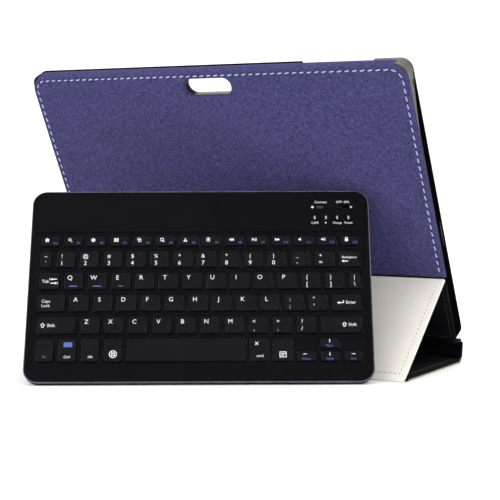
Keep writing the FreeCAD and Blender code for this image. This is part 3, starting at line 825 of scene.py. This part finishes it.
def slot_grommet():
    """Moulded lining of the camera slot, with a small lip on each side."""
    shape = Shape(TRAY)
    box = (-SLOT_LENGTH / 2, SLOT_LENGTH / 2, SLOT_Y - SLOT_WIDTH / 2, SLOT_Y + SLOT_WIDTH / 2)
    profile = [(0.0, -0.75), (0.0, -3.0), (0.0, -5.0), (0.0, -6.8), (0.3, -7.2), (0.95, -7.2), (0.95, -3.1),
               (0.95, -0.9)]   # outward from the slot's edge, height
    shape.loop(level_ring(box, -outward, SLOT_WIDTH / 2 - 0.01 + outward, z, SLOT_LENGTH) for outward, z in profile)
    piece = facing_out(shape.piece("slot_grommet", collar, "collar", "tray", sharp=40.0))
    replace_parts(piece, "slot_collar")


# ---- cover ----

def flap_pieces():
    """Cream leather outside, black suede inside, sewn near the edge."""
    seam = 5.0
    outline = Outline(-HALF_WIDTH, HALF_WIDTH, 2.4, FLAP_TOP + 0.9, (2.0, 1.6))
    rise = simple_rise(0.3, 9.0, 0.6, seam)
    face = upholstered("flap_leather", FLAP, outline, cream, "cream_leather", "flap", rise, straight((0.0, -SKIN)),
                       grid=4.0, step=2.5, bands=(0.25, 0.6, 1.2, 3.6, 4.4, 5.0, 5.6, 6.4), skin=0.5)
    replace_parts(face, "flap_skin")
    sew("flap_stitches", FLAP, seam_line(outline, seam, open_side="high"), 3.6, 2.0, 0.55, 0.2,
        outline.above(rise, 0.03), beige_thread, "cream_leather", "flap", slant=0.12)
    inner_panel("flap_lining_leather", FLAP, FLAP_TOP, "flap_lining", "flap")


def inner_panel(name, space, far_end, node, body):
    """Black lining of the flap or the base, with a mitred end at the heel and its edge turned over the board."""
    near = COVER * MITRE + 0.4
    half = HALF_WIDTH - 0.4
    if body == "flap":
        inner = space @ Matrix.Translation((0, 0, -COVER)) @ BACKWARD
        outline = Outline(-half, half, -far_end + 0.3, -near, (2.0, 0.6))
        heelward = 1
    else:
        inner = space @ Matrix.Translation((0, 0, COVER))
        outline = Outline(-half, half, near, far_end - 0.2, (0.6, 0.8))
        heelward = -1
    depth = COVER - SKIN + 0.05
    seam = 4.0
    rise = simple_rise(0.0, 4.0, 0.5, seam, slack=0.0)

    def wall_ring(share):
        def ring(out_x, out_y):
            slide = max(out_y * heelward, 0) ** 4 * MITRE * depth * share
            return slide + 0.1 * math.sin(math.pi * share), -0.5 - (depth - 0.5) * share
        return ring

    wall = [wall_ring(share) for share in (0.25, 0.5, 0.75, 1.0)]
    panel = upholstered(name, inner, outline, suede, "microfibre", body, rise, wall, grid=4.0, step=3.0,
                        bands=(0.25, 0.6, 1.2, 3.2, 4.0, 4.8), skin=0.4)
    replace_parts(panel, node)
    sew(name + "_stitches", inner, seam_line(outline, seam), 3.2, 2.1, 0.5, 0.2,
        outline.above(rise, 0.05), black_thread, "microfibre", body)


def base_pieces():
    """Cream leather under the base, black suede on it, and at both sides a tan rod: the cream edge in painted shade
    near the floor.
    """
    inner_panel("base_lining_leather", BASE, BASE_END, "base_lining", "base")
    outline = Outline(-HALF_WIDTH, HALF_WIDTH, -BASE_END, -2.4, (0.8, 2.0))
    rise = simple_rise(0.0, 9.0, 0.5, seam=5.0, slack=0.0)
    face = upholstered("base_leather", BASE @ BACKWARD, outline, cream, "cream_leather", "base",
                       lambda x, y, d: rise(x, y, d) - 0.02, straight((0.0, -SKIN)), grid=5.0, step=3.0,
                       bands=(0.25, 0.6, 1.2, 4.2, 5.0, 5.8), skin=0.5)
    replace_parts(face, "base_skin")
    # painted shade: tan rods for the cream edge, shaded near the floor
    edge = Shape(BASE)
    for side in (-1, 1):
        rod(edge, 3.0, BASE_END - 4.0, lambda y, cosine, sine: (
            side * (HALF_WIDTH + 0.05) + 0.45 * cosine, y, 0.62 + 0.42 * sine))
    facing_out(edge.piece("base_edge_piping", shaded_cream_edge, "cream_leather", "base"))


def spine_pieces():
    """Leather and lining of the narrow spine between the base and the tray."""
    rise = simple_rise(0.15, 3.0, 0.4, slack=0.0)

    def one_side(name, space, node, material, slot, *rings):
        low, high = local_box(node, space)
        outline = Outline(low.x, high.x, low.y, high.y, (0.6, 0.6))
        wall = straight(*((offset, high.z - drop) for offset, drop in rings))
        return upholstered(name, space, outline, material, slot, "spine", lambda x, y, d: high.z + rise(x, y, d),
                           wall, step=3.0, bands=(0.25, 0.6, 1.2, 2.2), skin=0.4)

    skin_face = one_side("spine_leather", SPINE, "spine_skin", cream, "cream_leather", (0.0, SKIN))
    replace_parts(skin_face, "spine_skin")
    lining = one_side("spine_lining_leather", SPINE @ BACKWARD, "spine_lining", suede, "microfibre",
                      (0.05, 0.9), (0.1, COVER - SKIN - 0.05))
    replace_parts(lining, "spine_lining")


def polar(angle):
    """Unit vector in Y and Z, from radians."""
    return Vector((math.cos(angle), math.sin(angle)))


def arc(centre, radius, start, end, count=10):
    """Points of an arc in Y and Z, in degrees."""
    return [centre + polar(math.radians(start + (end - start) * i / count)) * radius for i in range(count + 1)]


def heel_fold():
    """Cream skin round the heel's nose, and the black lining in its inner corner."""
    half = HALF_WIDTH - 0.3
    heel_at = Vector((heel.y, 0)) / MM
    middle = polar(FLAP_RISE / 2)
    up = polar(FLAP_RISE)
    nose = 0.9
    path = [heel_at + Vector((7.2, 0.0)), heel_at + Vector((5.0, 0.0))]
    path += arc(heel_at + middle * nose / math.sin(FLAP_RISE / 2), nose, 270, 90 + math.degrees(FLAP_RISE), 12)
    path += [heel_at + up * 5.0, heel_at + up * 7.2]
    skin = strip("heel_fold_leather", path[::-1], 0.7, half, cream, "cream_leather")
    lift = 0.78            # of the lining from the outside of the skin
    reaches = (6.2, 4.2, 2.9, 2.25)
    path = [heel_at + Vector((reach, lift)) for reach in reaches]
    path += [heel_at + up * reach + Vector((up.y, -up.x)) * lift for reach in reaches[::-1]]
    lining = strip("heel_fold_lining", path, -0.12, half - 0.3, suede, "microfibre")
    for piece in (skin, lining):
        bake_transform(piece)


def foot_fold():
    """Cream skin and black lining where the base turns up into the spine."""
    half = HALF_WIDTH - 0.3
    foot_at = foot.yz / MM
    along_base = Vector((-1, 0))
    along_spine = (hinge - foot).yz.normalized()
    out_angle = math.degrees(math.atan2(along_spine.y, along_spine.x)) - 90
    out = polar(math.radians(out_angle))
    below = Vector((0, -COVER / 2))
    beside = out * (COVER / 2 + 0.04)
    path = [foot_at + along_base * 3.0 + below, foot_at + along_base * 1.2 + below]
    path += arc(foot_at, COVER / 2, -90, out_angle)
    path += [foot_at + along_spine * 1.2 + beside, foot_at + along_spine * 3.0 + beside]
    skin = strip("foot_fold_leather", path, 0.75, half, cream, "cream_leather")
    inner = COVER / 2 + 0.03
    path = [foot_at + along_base * 3.0 + Vector((0, inner)), foot_at + along_base * 1.6 + Vector((0, inner - 0.1)),
            foot_at + (along_base + along_spine) * 1.05,
            foot_at - out * (inner - 0.1) + along_spine * 1.6, foot_at - out * inner + along_spine * 3.0]
    lining = strip("foot_fold_lining", path, -0.6, half, suede, "microfibre")
    for piece in (skin, lining):
        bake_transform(piece)


def hinge_fold():
    """Black leather from the tray's lower edge round the hinge to the spine."""
    edge = (TRAY @ Vector((0, TRAY_LOW_EDGE - 0.75, -3.0))).yz / MM
    axis = hinge.yz / MM
    inward = -(TRAY.to_3x3() @ Vector((0, 0, 1))).yz.normalized()
    down = (foot - hinge).yz.normalized()
    approach = axis + TRAY_UP.yz * 1.7
    path = [edge, edge + inward * 2.5, approach - inward * 2.2, approach - inward * 0.9,
            axis - inward * 0.1, axis + down * 1.3, axis + down * 3.4]
    tab = strip("hinge_fold_leather", path, -0.9, HALF_WIDTH - 0.8, black_hide, "black_leather")
    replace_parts(tab, "hinge_tab")
    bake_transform(tab)


# ---- keyboard ----

KEYS_IN_ROW = {"keys_function": 14, "keys_digits": 12, "keys_upper": 12, "keys_home": 11, "keys_lower": 10}


def group_keys(node):
    """(left, low, width, height) of each equal key in a CAD node."""
    low, high = local_box(node, KEYBOARD)
    count = KEYS_IN_ROW.get(node, 1)
    width = (high.x - low.x - KEY_GAP * (count - 1)) / count
    return [(low.x + i * (width + KEY_GAP), low.y, width, high.y - low.y) for i in range(count)]


CAP_PROFILE = [(0.0, 3.2), (0.03, 4.6), (0.10, 5.5), (0.20, 5.95), (0.38, 6.2), (0.62, 6.33), (0.95, 6.37),
               (1.5, 6.34), (2.4, 6.27)]   # inset from the side, height
DISH_FLOOR = 6.22


def cap_height(key, x, y):
    """Height of a key's face over a point of it."""
    left, low, width, height = key
    inset = min(x - left, left + width - x, y - low, low + height - y)
    for (near, z_near), (far, z_far) in zip(CAP_PROFILE, CAP_PROFILE[1:]):
        if inset <= far:
            return z_near + (z_far - z_near) * max(inset - near, 0) / (far - near)
    return DISH_FLOOR + (CAP_PROFILE[-1][1] - DISH_FLOOR) * max(0, 1 - (inset - CAP_PROFILE[-1][0]) / 1.2)


def keycap(shape, key):
    """Key with drawn-in sides, a rounded rim and a faintly dished face."""
    left, low, width, height = key
    most = min(width, height) / 2 - 0.3
    profile = [(inset, z) for inset, z in CAP_PROFILE if inset < most] + [(min(most, 3.4), DISH_FLOOR)]
    rings = []
    for inset, z in profile:
        radius = max(KEY_CORNER - inset * 0.6, 0.3)
        radius = min(radius, (min(width, height) / 2 - inset) * 0.95)
        rings.append(level_ring((left, left + width, low, low + height), inset, radius, z, max(width, height)))
    shape.loft(rings)


KEY_NODES = [name for name in frame["record"]["behaviour"]["bodies"]
             if name.startswith("key") and name != "keyboard"]


def keycaps():
    """Every key, one piece for each key body."""
    for node in KEY_NODES:
        shape = Shape(KEYBOARD)
        for key in group_keys(node):
            keycap(shape, key)
        piece = shape.piece(node.replace("key", "cap", 1), key_plastic, "key_plastic", node, sharp=35.0)
        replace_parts(piece, node)


class Print:
    """Lettering and signs printed on one body, in the keyboard's space."""

    def __init__(self, body, height_at):
        self.body = body
        self.height_at = height_at
        self.shapes = {"white": Shape(KEYBOARD), "blue": Shape(KEYBOARD)}

    def word(self, text, x, y, size, colour="white", align="LEFT"):
        """Text whose capitals are size high, its baseline at y."""
        curve = bpy.data.curves.new("word", "FONT")
        curve.body = text
        curve.size = size / CAPITAL
        curve.align_x = align
        curve.resolution_u = 3
        holder = place("word", curve)
        mesh = bpy.data.meshes.new_from_object(holder.evaluated_get(bpy.context.evaluated_depsgraph_get()))
        flat = [(v.co.x + x, v.co.y + y) for v in mesh.vertices]
        self.raise_flat(self.shapes[colour], flat, [tuple(p.vertices) for p in mesh.polygons])
        bpy.data.objects.remove(holder)
        bpy.data.curves.remove(curve)
        bpy.data.meshes.remove(mesh)

    def raise_flat(self, shape, flat, faces):
        """Closed thin print from a flat mesh: its faces, a copy under them, and the rim between."""
        top = shape.add((x, y, self.height_at(x, y) + PRINT_HEIGHT) for x, y in flat)
        under = shape.add((x, y, self.height_at(x, y) - PRINT_ROOT) for x, y in flat)
        edges = set()
        for face in faces:
            shape.faces.append(tuple(top[i] for i in face))
            shape.faces.append(tuple(under[i] for i in reversed(face)))
            edges.update(zip(face, face[1:] + face[:1]))
        for a, b in edges:
            if (b, a) not in edges:
                shape.faces.append((top[b], top[a], under[a], under[b]))

    def sign(self, name, x, y, size, colour="white"):
        """Small drawn sign, centred."""
        for points in SIGNS[name]:
            self.raise_flat(self.shapes[colour], [(x + a * size, y + b * size) for a, b in points[0]], points[1])

    def pieces(self, name):
        made = {"white": white_print, "blue": blue_print}
        for colour, shape in self.shapes.items():
            if shape.faces:
                shape.piece(f"{name}_{colour}", made[colour], "key_plastic", self.body, sharp=30.0)


def solid(*points):
    """Filled polygon, counter-clockwise."""
    return (list(points), [tuple(range(len(points)))])


def bar(left, low, right, high):
    """Filled rectangle."""
    return solid((left, low), (right, low), (right, high), (left, high))


def hollow(outer, inner):
    """Band between two outlines of as many points, counter-clockwise."""
    count = len(outer)
    return (outer + inner, [(i, (i + 1) % count, count + (i + 1) % count, count + i) for i in range(count)])


def circle(x, y, radius, count):
    return [(x + radius * cosine, y + radius * sine) for cosine, sine in turns(count)]


def ring_sign(x, y, radius, inner, count=16):
    """Flat ring."""
    return hollow(circle(x, y, radius, count), circle(x, y, inner, count))


def disc(x, y, radius, count=16):
    return solid(*circle(x, y, radius, count))


def box_sign(left, low, right, high, line):
    """Outline of a rectangle."""
    return [bar(left, low, right, low + line), bar(left, high - line, right, high),
            bar(left, low + line, left + line, high - line), bar(right - line, low + line, right, high - line)]


def arrow(tip, tail, half=0.22, line=0.07):
    """Straight arrow along x."""
    back = tip + (0.35 if tail > tip else -0.35)
    head = [(tip, 0), (back, -half), (back, half)]
    shaft = [min(back, tail), -line, max(back, tail), line]
    return [solid(*(head if tail > tip else [head[0], head[2], head[1]])), bar(*shaft)]


def moved(parts, x, y):
    """The same parts of a sign, shifted."""
    return [([(a + x, b + y) for a, b in points], faces) for points, faces in parts]


SIGNS = {
    "home": [solid((-.5, .05), (.5, .05), (0, .5)), bar(-.32, -.42, -.1, .05), bar(.1, -.42, .32, .05),
             bar(-.1, -.14, .1, .05)],
    "lens": [ring_sign(-.08, .1, .32, .2), solid((.12, -.2), (.2, -.12), (.46, -.38), (.38, -.46))],
    "dim": [disc(0, 0, .42)],
    "tiles": [bar(-.45, .06, -.06, .4), bar(.06, .06, .45, .4), bar(-.45, -.4, -.06, -.06), bar(.06, -.4, .45, -.06)],
    "copy": [*box_sign(-.4, -.05, .25, .42, .1), *box_sign(-.2, -.42, .4, .12, .1)],
    "page": [*box_sign(-.4, -.3, .3, .4, .13), bar(.05, -.45, .45, -.32)],
    "cut": [solid((-.1, .45), (-.16, -.05), (.0, -.05)), disc(-.2, -.28, .17), disc(.2, -.28, .17),
            solid((.1, .45), (.0, -.05), (.16, -.05))],
    "paste": [*box_sign(-.38, -.4, .32, .38, .11), bar(-.15, .32, .12, .48), bar(-.18, -.12, .14, .1)],
    "rewind": [solid((-.5, 0), (0, -.35), (0, .35)), solid((0, 0), (.5, -.35), (.5, .35))],
    "play": [solid((-.5, -.35), (0, 0), (-.5, .35)), bar(.08, -.35, .2, .35), bar(.32, -.35, .44, .35)],
    "forward": [solid((-.5, -.35), (0, 0), (-.5, .35)), solid((0, -.35), (.5, 0), (0, .35))],
    "quiet": [bar(-.45, -.14, -.2, .14), solid((-.2, -.14), (.1, -.36), (.1, .36), (-.2, .14))],
    "loud": [bar(-.5, -.14, -.28, .14), solid((-.28, -.14), (0, -.36), (0, .36), (-.28, .14)),
             bar(.1, -.2, .2, .2), bar(.3, -.34, .4, .34)],
    "lock": [bar(-.34, -.45, .34, .08), bar(-.26, .08, -.12, .32), bar(.12, .08, .26, .32), bar(-.26, .32, .26, .45)],
    "shift": [hollow([(0, .55), (-.58, 0), (-.26, 0), (-.26, -.5), (.26, -.5), (.26, 0), (.58, 0)],
                     [(0, .36), (-.3, .1), (-.13, .1), (-.13, -.36), (.13, -.36), (.13, .1), (.3, .1)])],
    "left": arrow(-.5, .5),
    "right": arrow(.5, -.5),
    "up": [solid((-.22, .1), (.22, .1), (0, .5)), bar(-.07, -.5, .07, .1)],
    "down": [solid((.22, -.1), (-.22, -.1), (0, -.5)), bar(-.07, -.1, .07, .5)],
    "tab": [*moved(arrow(-.5, .42, .17, .06), 0, .28), bar(-.56, .1, -.5, .46),
            *moved(arrow(.5, -.42, .17, .06), 0, -.28), bar(.5, -.46, .56, -.1)],
    "enter": [*arrow(-.5, .42), bar(.35, -.07, .48, .36)],
    "system": [ring_sign(0, 0, .5, .4, 24), disc(-.14, .13, .12), disc(.15, .13, .12), disc(-.14, -.15, .12),
               disc(.15, -.15, .12)],
    "cross": [solid((-.4, -.28), (-.28, -.4), (.4, .28), (.28, .4)),
              solid((.28, -.4), (.4, -.28), (-.28, .4), (-.4, .28))],
    "menu": [*box_sign(-.46, -.4, .46, .42, .1), bar(-.24, .06, .3, .18), bar(-.24, -.16, .12, -.04)],
    "plate": [bar(-.5, -.3, .5, .3)],
    "rule": [bar(-.5, -.06, .5, .06)],
}

FUNCTION_KEYS = [("home", "Esc"), ("lens", "F1"), ("dim", "F2"), ("tiles", "F3"), ("copy", "F4"), ("page", "F5"),
                 ("cut", "F6"), ("paste", "F7"), ("rewind", "F8"), ("play", "F9"), ("forward", "F10"),
                 ("quiet", "F11"), ("loud", "F12"), ("lock", "Del")]
DIGIT_KEYS = ["!1", "@2", "#3", "$4", "%5", "^6", "&7", "*8", "(9", ")0", "_-", "+="]
UPPER_KEYS = ["Q", "W", "E", "R", "T", "Y", "U", "I", "O", "P", "{[", "}]"]
HOME_KEYS = ["A", "S", "D", "F", "G", "H", "J", "K", "L", ":;", "\"'"]
LOWER_KEYS = ["Z", "X", "C", "V", "B", "N", "M", "<,", ">.", "?/"]
SINGLE_KEYS = {    # kind, text or sign, share of the key's width, x, share of its height, y, size, colour, alignment
    "key_tab": [("word", "Tab", 0, 2.1, 0.5, -1.1, 2.2), ("sign", "tab", 0, 9.9, 0.5, 0, 5.0)],
    "key_caps": [("word", "Caps", 0, 2.6, 0.5, 0.4, 2.1), ("word", "Lock", 0, 2.6, 0.5, -2.7, 2.1)],
    "key_shift_left": [("sign", "shift", 0, 4.2, 0.5, 0, 3.1), ("word", "Shift", 0, 7.0, 0.5, -1.1, 2.2)],
    "key_shift_right": [("sign", "shift", 0, 16.0, 0.5, 0, 3.1), ("word", "Shift", 0, 18.6, 0.5, -1.1, 2.2)],
    "key_enter": [("sign", "enter", 0, 5.7, 0.5, -0.4, 4.6), ("word", "Enter", 0, 9.2, 0.5, -1.1, 2.2)],
    "key_backspace": [("word", "Backspace", 0.5, 0, 0.5, 0.2, 1.75, "white", "CENTER"),
                      ("sign", "left", 0, 4.3, 0.5, -1.9, 4.4)],
    "key_fn": [("word", "Fn", 0, 6.2, 0, 2.6, 2.1, "blue", "CENTER")],
    "key_ctrl": [("sign", "plate", 0, 6.6, 1, -4.4, 5.6, "blue"),
                 ("word", "Ctrl", 0, 6.2, 0, 2.6, 1.9, "white", "CENTER")],
    "key_alt": [("word", "Alt", 0, 6.4, 0, 2.6, 1.9, "white", "CENTER")],
    "key_system": [("sign", "system", 0, 6.3, 0, 5.2, 5.2)],
    "key_command": [("sign", "cross", 0, 4.5, 1, -3.9, 3.0),
                    ("word", "cmd", 0, 6.6, 0, 2.9, 2.0, "white", "CENTER")],
    "key_menu": [("sign", "menu", 0, 6.7, 0, 4.6, 4.9)],
}
ARROW_KEYS = {"left": "Home", "up": "PgUp", "down": "PgDn", "right": "End"}
for arrow_name, arrow_label in ARROW_KEYS.items():
    SINGLE_KEYS["key_" + arrow_name] = [
        ("sign", arrow_name, 0.5, -0.8 if arrow_name == "left" else 0, 1, -2.3, 2.5),
        ("word", arrow_label, 0.5, 0, 0, 0.9, 1.6, "blue", "CENTER")]


def print_pair(ink, key, pair):
    """Two small characters, one over the other, near the key's left side."""
    left, low, width, height = key
    middle = left + min(3.9, width / 2)
    ink.word(pair[0], middle, low + height - LETTER_DROP, 2.8, align="CENTER")
    ink.word(pair[1], middle, low + 1.9, LETTER_SIZE, align="CENTER")


def key_ink(node, paint_key):
    """Prints every key of a node."""
    keys = group_keys(node)

    def height_at(x, y):
        key = min(keys, key=lambda k: abs(x - k[0] - k[2] / 2))
        return cap_height(key, x, y)

    ink = Print(node, height_at)
    for index, key in enumerate(keys):
        paint_key(ink, key, index)
    ink.pieces(node.replace("key", "legend", 1))


def print_letters(texts):
    """Painter for keys with one or two characters each; Q, W and E also have a short blue rule."""
    def paint_key(ink, key, index):
        left, low, _, height = key
        text = texts[index]
        if len(text) == 2:
            print_pair(ink, key, text)
        else:
            ink.word(text, left + 4.1, low + height - LETTER_DROP, LETTER_SIZE, align="CENTER")
        if text in ("Q", "W", "E"):
            ink.sign("rule", left + 6.4, low + 2.3, 5.4 - 2.0 * (text == "E"), "blue")
    return paint_key


def print_function(ink, key, index):
    """A white sign and a small blue label."""
    left, low, width, height = key
    sign, label = FUNCTION_KEYS[index]
    ink.sign(sign, left + 4.2, low + height / 2 + 0.7, 3.2)
    ink.word(label, left + width - 2.9, low + height / 2 - 2.2, 1.7, "blue", "CENTER")


def print_placed(rows):
    """Painter for one key from its rows of SINGLE_KEYS."""
    def paint_key(ink, key, index):
        left, low, width, height = key
        for kind, what, x_share, x, y_share, y, size, *style in rows:
            draw = ink.word if kind == "word" else ink.sign
            draw(what, left + x_share * width + x, low + y_share * height + y, size, *style)
    return paint_key


def key_legends():
    """The print on every key, one or two pieces for each key body."""
    key_ink("keys_function", print_function)
    for node, texts in (("keys_digits", DIGIT_KEYS), ("keys_upper", UPPER_KEYS), ("keys_home", HOME_KEYS),
                        ("keys_lower", LOWER_KEYS), ("key_tilde", ["~`"]), ("key_backslash", ["|\\"])):
        key_ink(node, print_letters(texts))
    for node, rows in SINGLE_KEYS.items():
        key_ink(node, print_placed(rows))


def middle_of(node):
    """Middle of a CAD node in the keyboard's space."""
    low, high = local_box(node, KEYBOARD)
    return (low + high) / 2


def panel_controls():
    """Words and signs beside the connect button and the power slider, and the signal windows with their bezels, above
    the keys.
    """
    button, slider = middle_of("connect_button"), middle_of("power_switch")
    lights_low, lights_high = local_box("indicator_lights", KEYBOARD)
    row = button.y
    over_row = row + 2.9
    ink = Print("keyboard", lambda x, y: DECK_TOP)
    for text, x in (("Connect", button.x + 0.6), ("OFF", slider.x - 0.4), ("ON", slider.x + 4.6)):
        ink.word(text, x, over_row, 1.75, align="CENTER")
    ink.sign("dim", button.x - 5.0, row, 2.0)
    # white cross at the slider's right end: a painted glint, not print
    ink.sign("cross", slider.x + 7.6, row, 1.9)
    windows = Shape(KEYBOARD)
    rims = Shape(KEYBOARD)
    first = lights_low.x + 0.55
    pitch = (lights_high.x - lights_low.x) / 3 - 0.37
    y = middle_of("indicator_lights").y
    for index, label in enumerate(["CAPS", "", "Charge", "Power"]):
        x = first + index * pitch
        beads(windows, [(x, y, math.pi / 2)], 2.9, 1.15, 0.16, lambda a, b: DECK_TOP)
        beads(rims, [(x, y, math.pi / 2)], 3.6, 1.9, 0.07, lambda a, b: DECK_TOP)
        if label:
            ink.word(label, x, y - 4.6, 1.55, align="CENTER")
        else:
            ink.sign("quiet", x, y - 3.8, 2.0)
    windows.piece("light_windows", lens_glass, "light_pipe", "keyboard")
    rims.piece("light_bezels", deck_plastic, "keyboard_plastic", "keyboard")
    ink.pieces("band_print_and_glint")


def pressed_controls():
    """Connect button with a dished pill top, and the ribbed power slider."""
    low, high = local_box("connect_button", KEYBOARD)
    shape = Shape(KEYBOARD)
    profile = [(0.0, low.z), (0.0, high.z - 0.35), (0.12, high.z - 0.1), (0.35, high.z), (0.7, high.z - 0.06),
               (0.95, high.z - 0.1)]
    shape.loft(level_ring((low.x, high.x, low.y, high.y), inset, max(0.98 - inset, 0.1), z) for inset, z in profile)
    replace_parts(shape.piece("connect_cap_top", button_gloss, "keyboard_plastic", "connect_cap"), "connect_button")
    low, high = local_box("power_switch", KEYBOARD)
    middle = (low + high) / 2
    slider = Shape(KEYBOARD)
    half_x, half_y = 1.7, 0.9
    box = (middle.x - half_x, middle.x + half_x, middle.y - half_y, middle.y + half_y)
    profile = [(0.0, low.z), (0.0, high.z - 0.3), (0.1, high.z - 0.1), (0.3, high.z - 0.05)]
    slider.loft(level_ring(box, inset, 0.3, z) for inset, z in profile)
    ribs = [(middle.x + offset, middle.y, math.pi / 2) for offset in (-1.0, -0.35, 0.35, 1.0)]
    beads(slider, ribs, 1.3, 0.3, 0.14, lambda x, y: high.z - 0.06)
    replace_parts(slider.piece("power_slider", key_plastic, "keyboard_plastic", "switch_slider"), "power_switch")


def edge_bead(name, inset, outward, width, height, z):
    """Glossy bead round the keyboard's edge, centred outward of the inset line; its grey is a painted highlight."""
    radius = SHELL_RADIUS - inset
    ring = rounded_ring(inset, keyboard_size.x - inset, inset, keyboard_size.y - inset, (radius, radius), 4.0)
    shape = Shape(KEYBOARD)
    shape.loop([(x + out_x * (width * cosine + outward), y + out_y * (width * cosine + outward), z + height * sine)
                for cosine, sine in turns(8)] for x, y, out_x, out_y in ring)
    facing_out(shape.piece(name, rim_highlight, "keyboard_plastic", "keyboard"))


def keyboard_trim():
    """Glossy beads round the joint of the shells and round the deck, grey as a painted highlight, and the ridge that
    closes the key field.
    """
    edge_bead("shell_bead", 0.0, 0.02, 0.28, 0.42, keyboard_size.z)
    edge_bead("deck_edge", 0.2, 0.0, 0.3, 0.3, DECK_TOP - 0.22)
    top = local_box("keys_function", KEYBOARD)[1].y
    ridge = Shape(KEYBOARD)
    beads(ridge, [(keyboard_size.x / 2, top + 4.0, 0.0)], keyboard_size.x - 8.0, 1.6, 0.16,
          lambda x, y: DECK_TOP - 0.05)
    ridge.piece("deck_ridge", deck_plastic, "keyboard_plastic", "keyboard")


# ---- stage ----

def studio():
    """Pale floor that curves up all round into a wall, soft lamps and the camera."""
    floor_radius, curve = 2.2, 0.9
    profile = [(0.6, 0.0), (1.4, 0.0), (floor_radius, 0.0)]
    for degrees in range(10, 91, 10):
        angle = math.radians(degrees)
        profile.append((floor_radius + curve * math.sin(angle), curve - curve * math.cos(angle)))
    profile.append((floor_radius + curve, 2.4))
    shape = Shape(Matrix.Identity(4))
    rings = [shape.add([(r * cosine, r * sine, z) for cosine, sine in turns(64)]) for r, z in profile]
    for a, b in zip(rings, rings[1:]):
        shape.bridge(b, a)
    shape.faces.append(tuple(rings[0]))
    mesh = bpy.data.meshes.new("studio_floor")
    mesh.from_pydata(shape.points, [], shape.faces)
    mesh.shade_smooth()
    mesh.materials.append(backdrop)
    floor = place("studio_floor", mesh)

    world = bpy.data.worlds.new("soft_sky")
    world.use_nodes = True
    sky = world.node_tree.nodes["Background"]
    sky.inputs["Color"].default_value = (1.0, 1.0, 1.0, 1.0)
    sky.inputs["Strength"].default_value = SKY_STRENGTH
    bpy.context.scene.world = world
    for name, where, size, power in LAMPS:
        lamp = bpy.data.lights.new(name, "AREA")
        lamp.size = size
        lamp.energy = power
        holder = place(name, lamp)
        holder.location = where
        holder.rotation_euler = (LAMP_AIM - Vector(where)).to_track_quat("-Z", "Y").to_euler()

    lens = bpy.data.cameras.new("camera")
    lens.lens = LENS
    lens.sensor_width = 36.0
    camera = place("camera", lens)
    look = Matrix.Rotation(math.radians(CAMERA_AZIMUTH), 4, "Z") @ \
        Matrix.Rotation(math.radians(90 - CAMERA_DROP), 4, "X") @ Matrix.Rotation(math.radians(CAMERA_ROLL), 4, "Z")
    camera.matrix_world = Matrix.Translation(CAMERA_AIM) @ look @ Matrix.Translation((0, 0, CAMERA_DISTANCE))
    bpy.context.scene.camera = camera
    bpy.context.scene.view_settings.view_transform = "Standard"


studio()
paint_cad_nodes()
canvas_panel()
ledge_binding()
lower_back_leather()
tray_lining_pad()
side_details()
slot_grommet()
flap_pieces()
base_pieces()
spine_pieces()
heel_fold()
foot_fold()
hinge_fold()
keycaps()
key_legends()
panel_controls()
pressed_controls()
keyboard_trim()
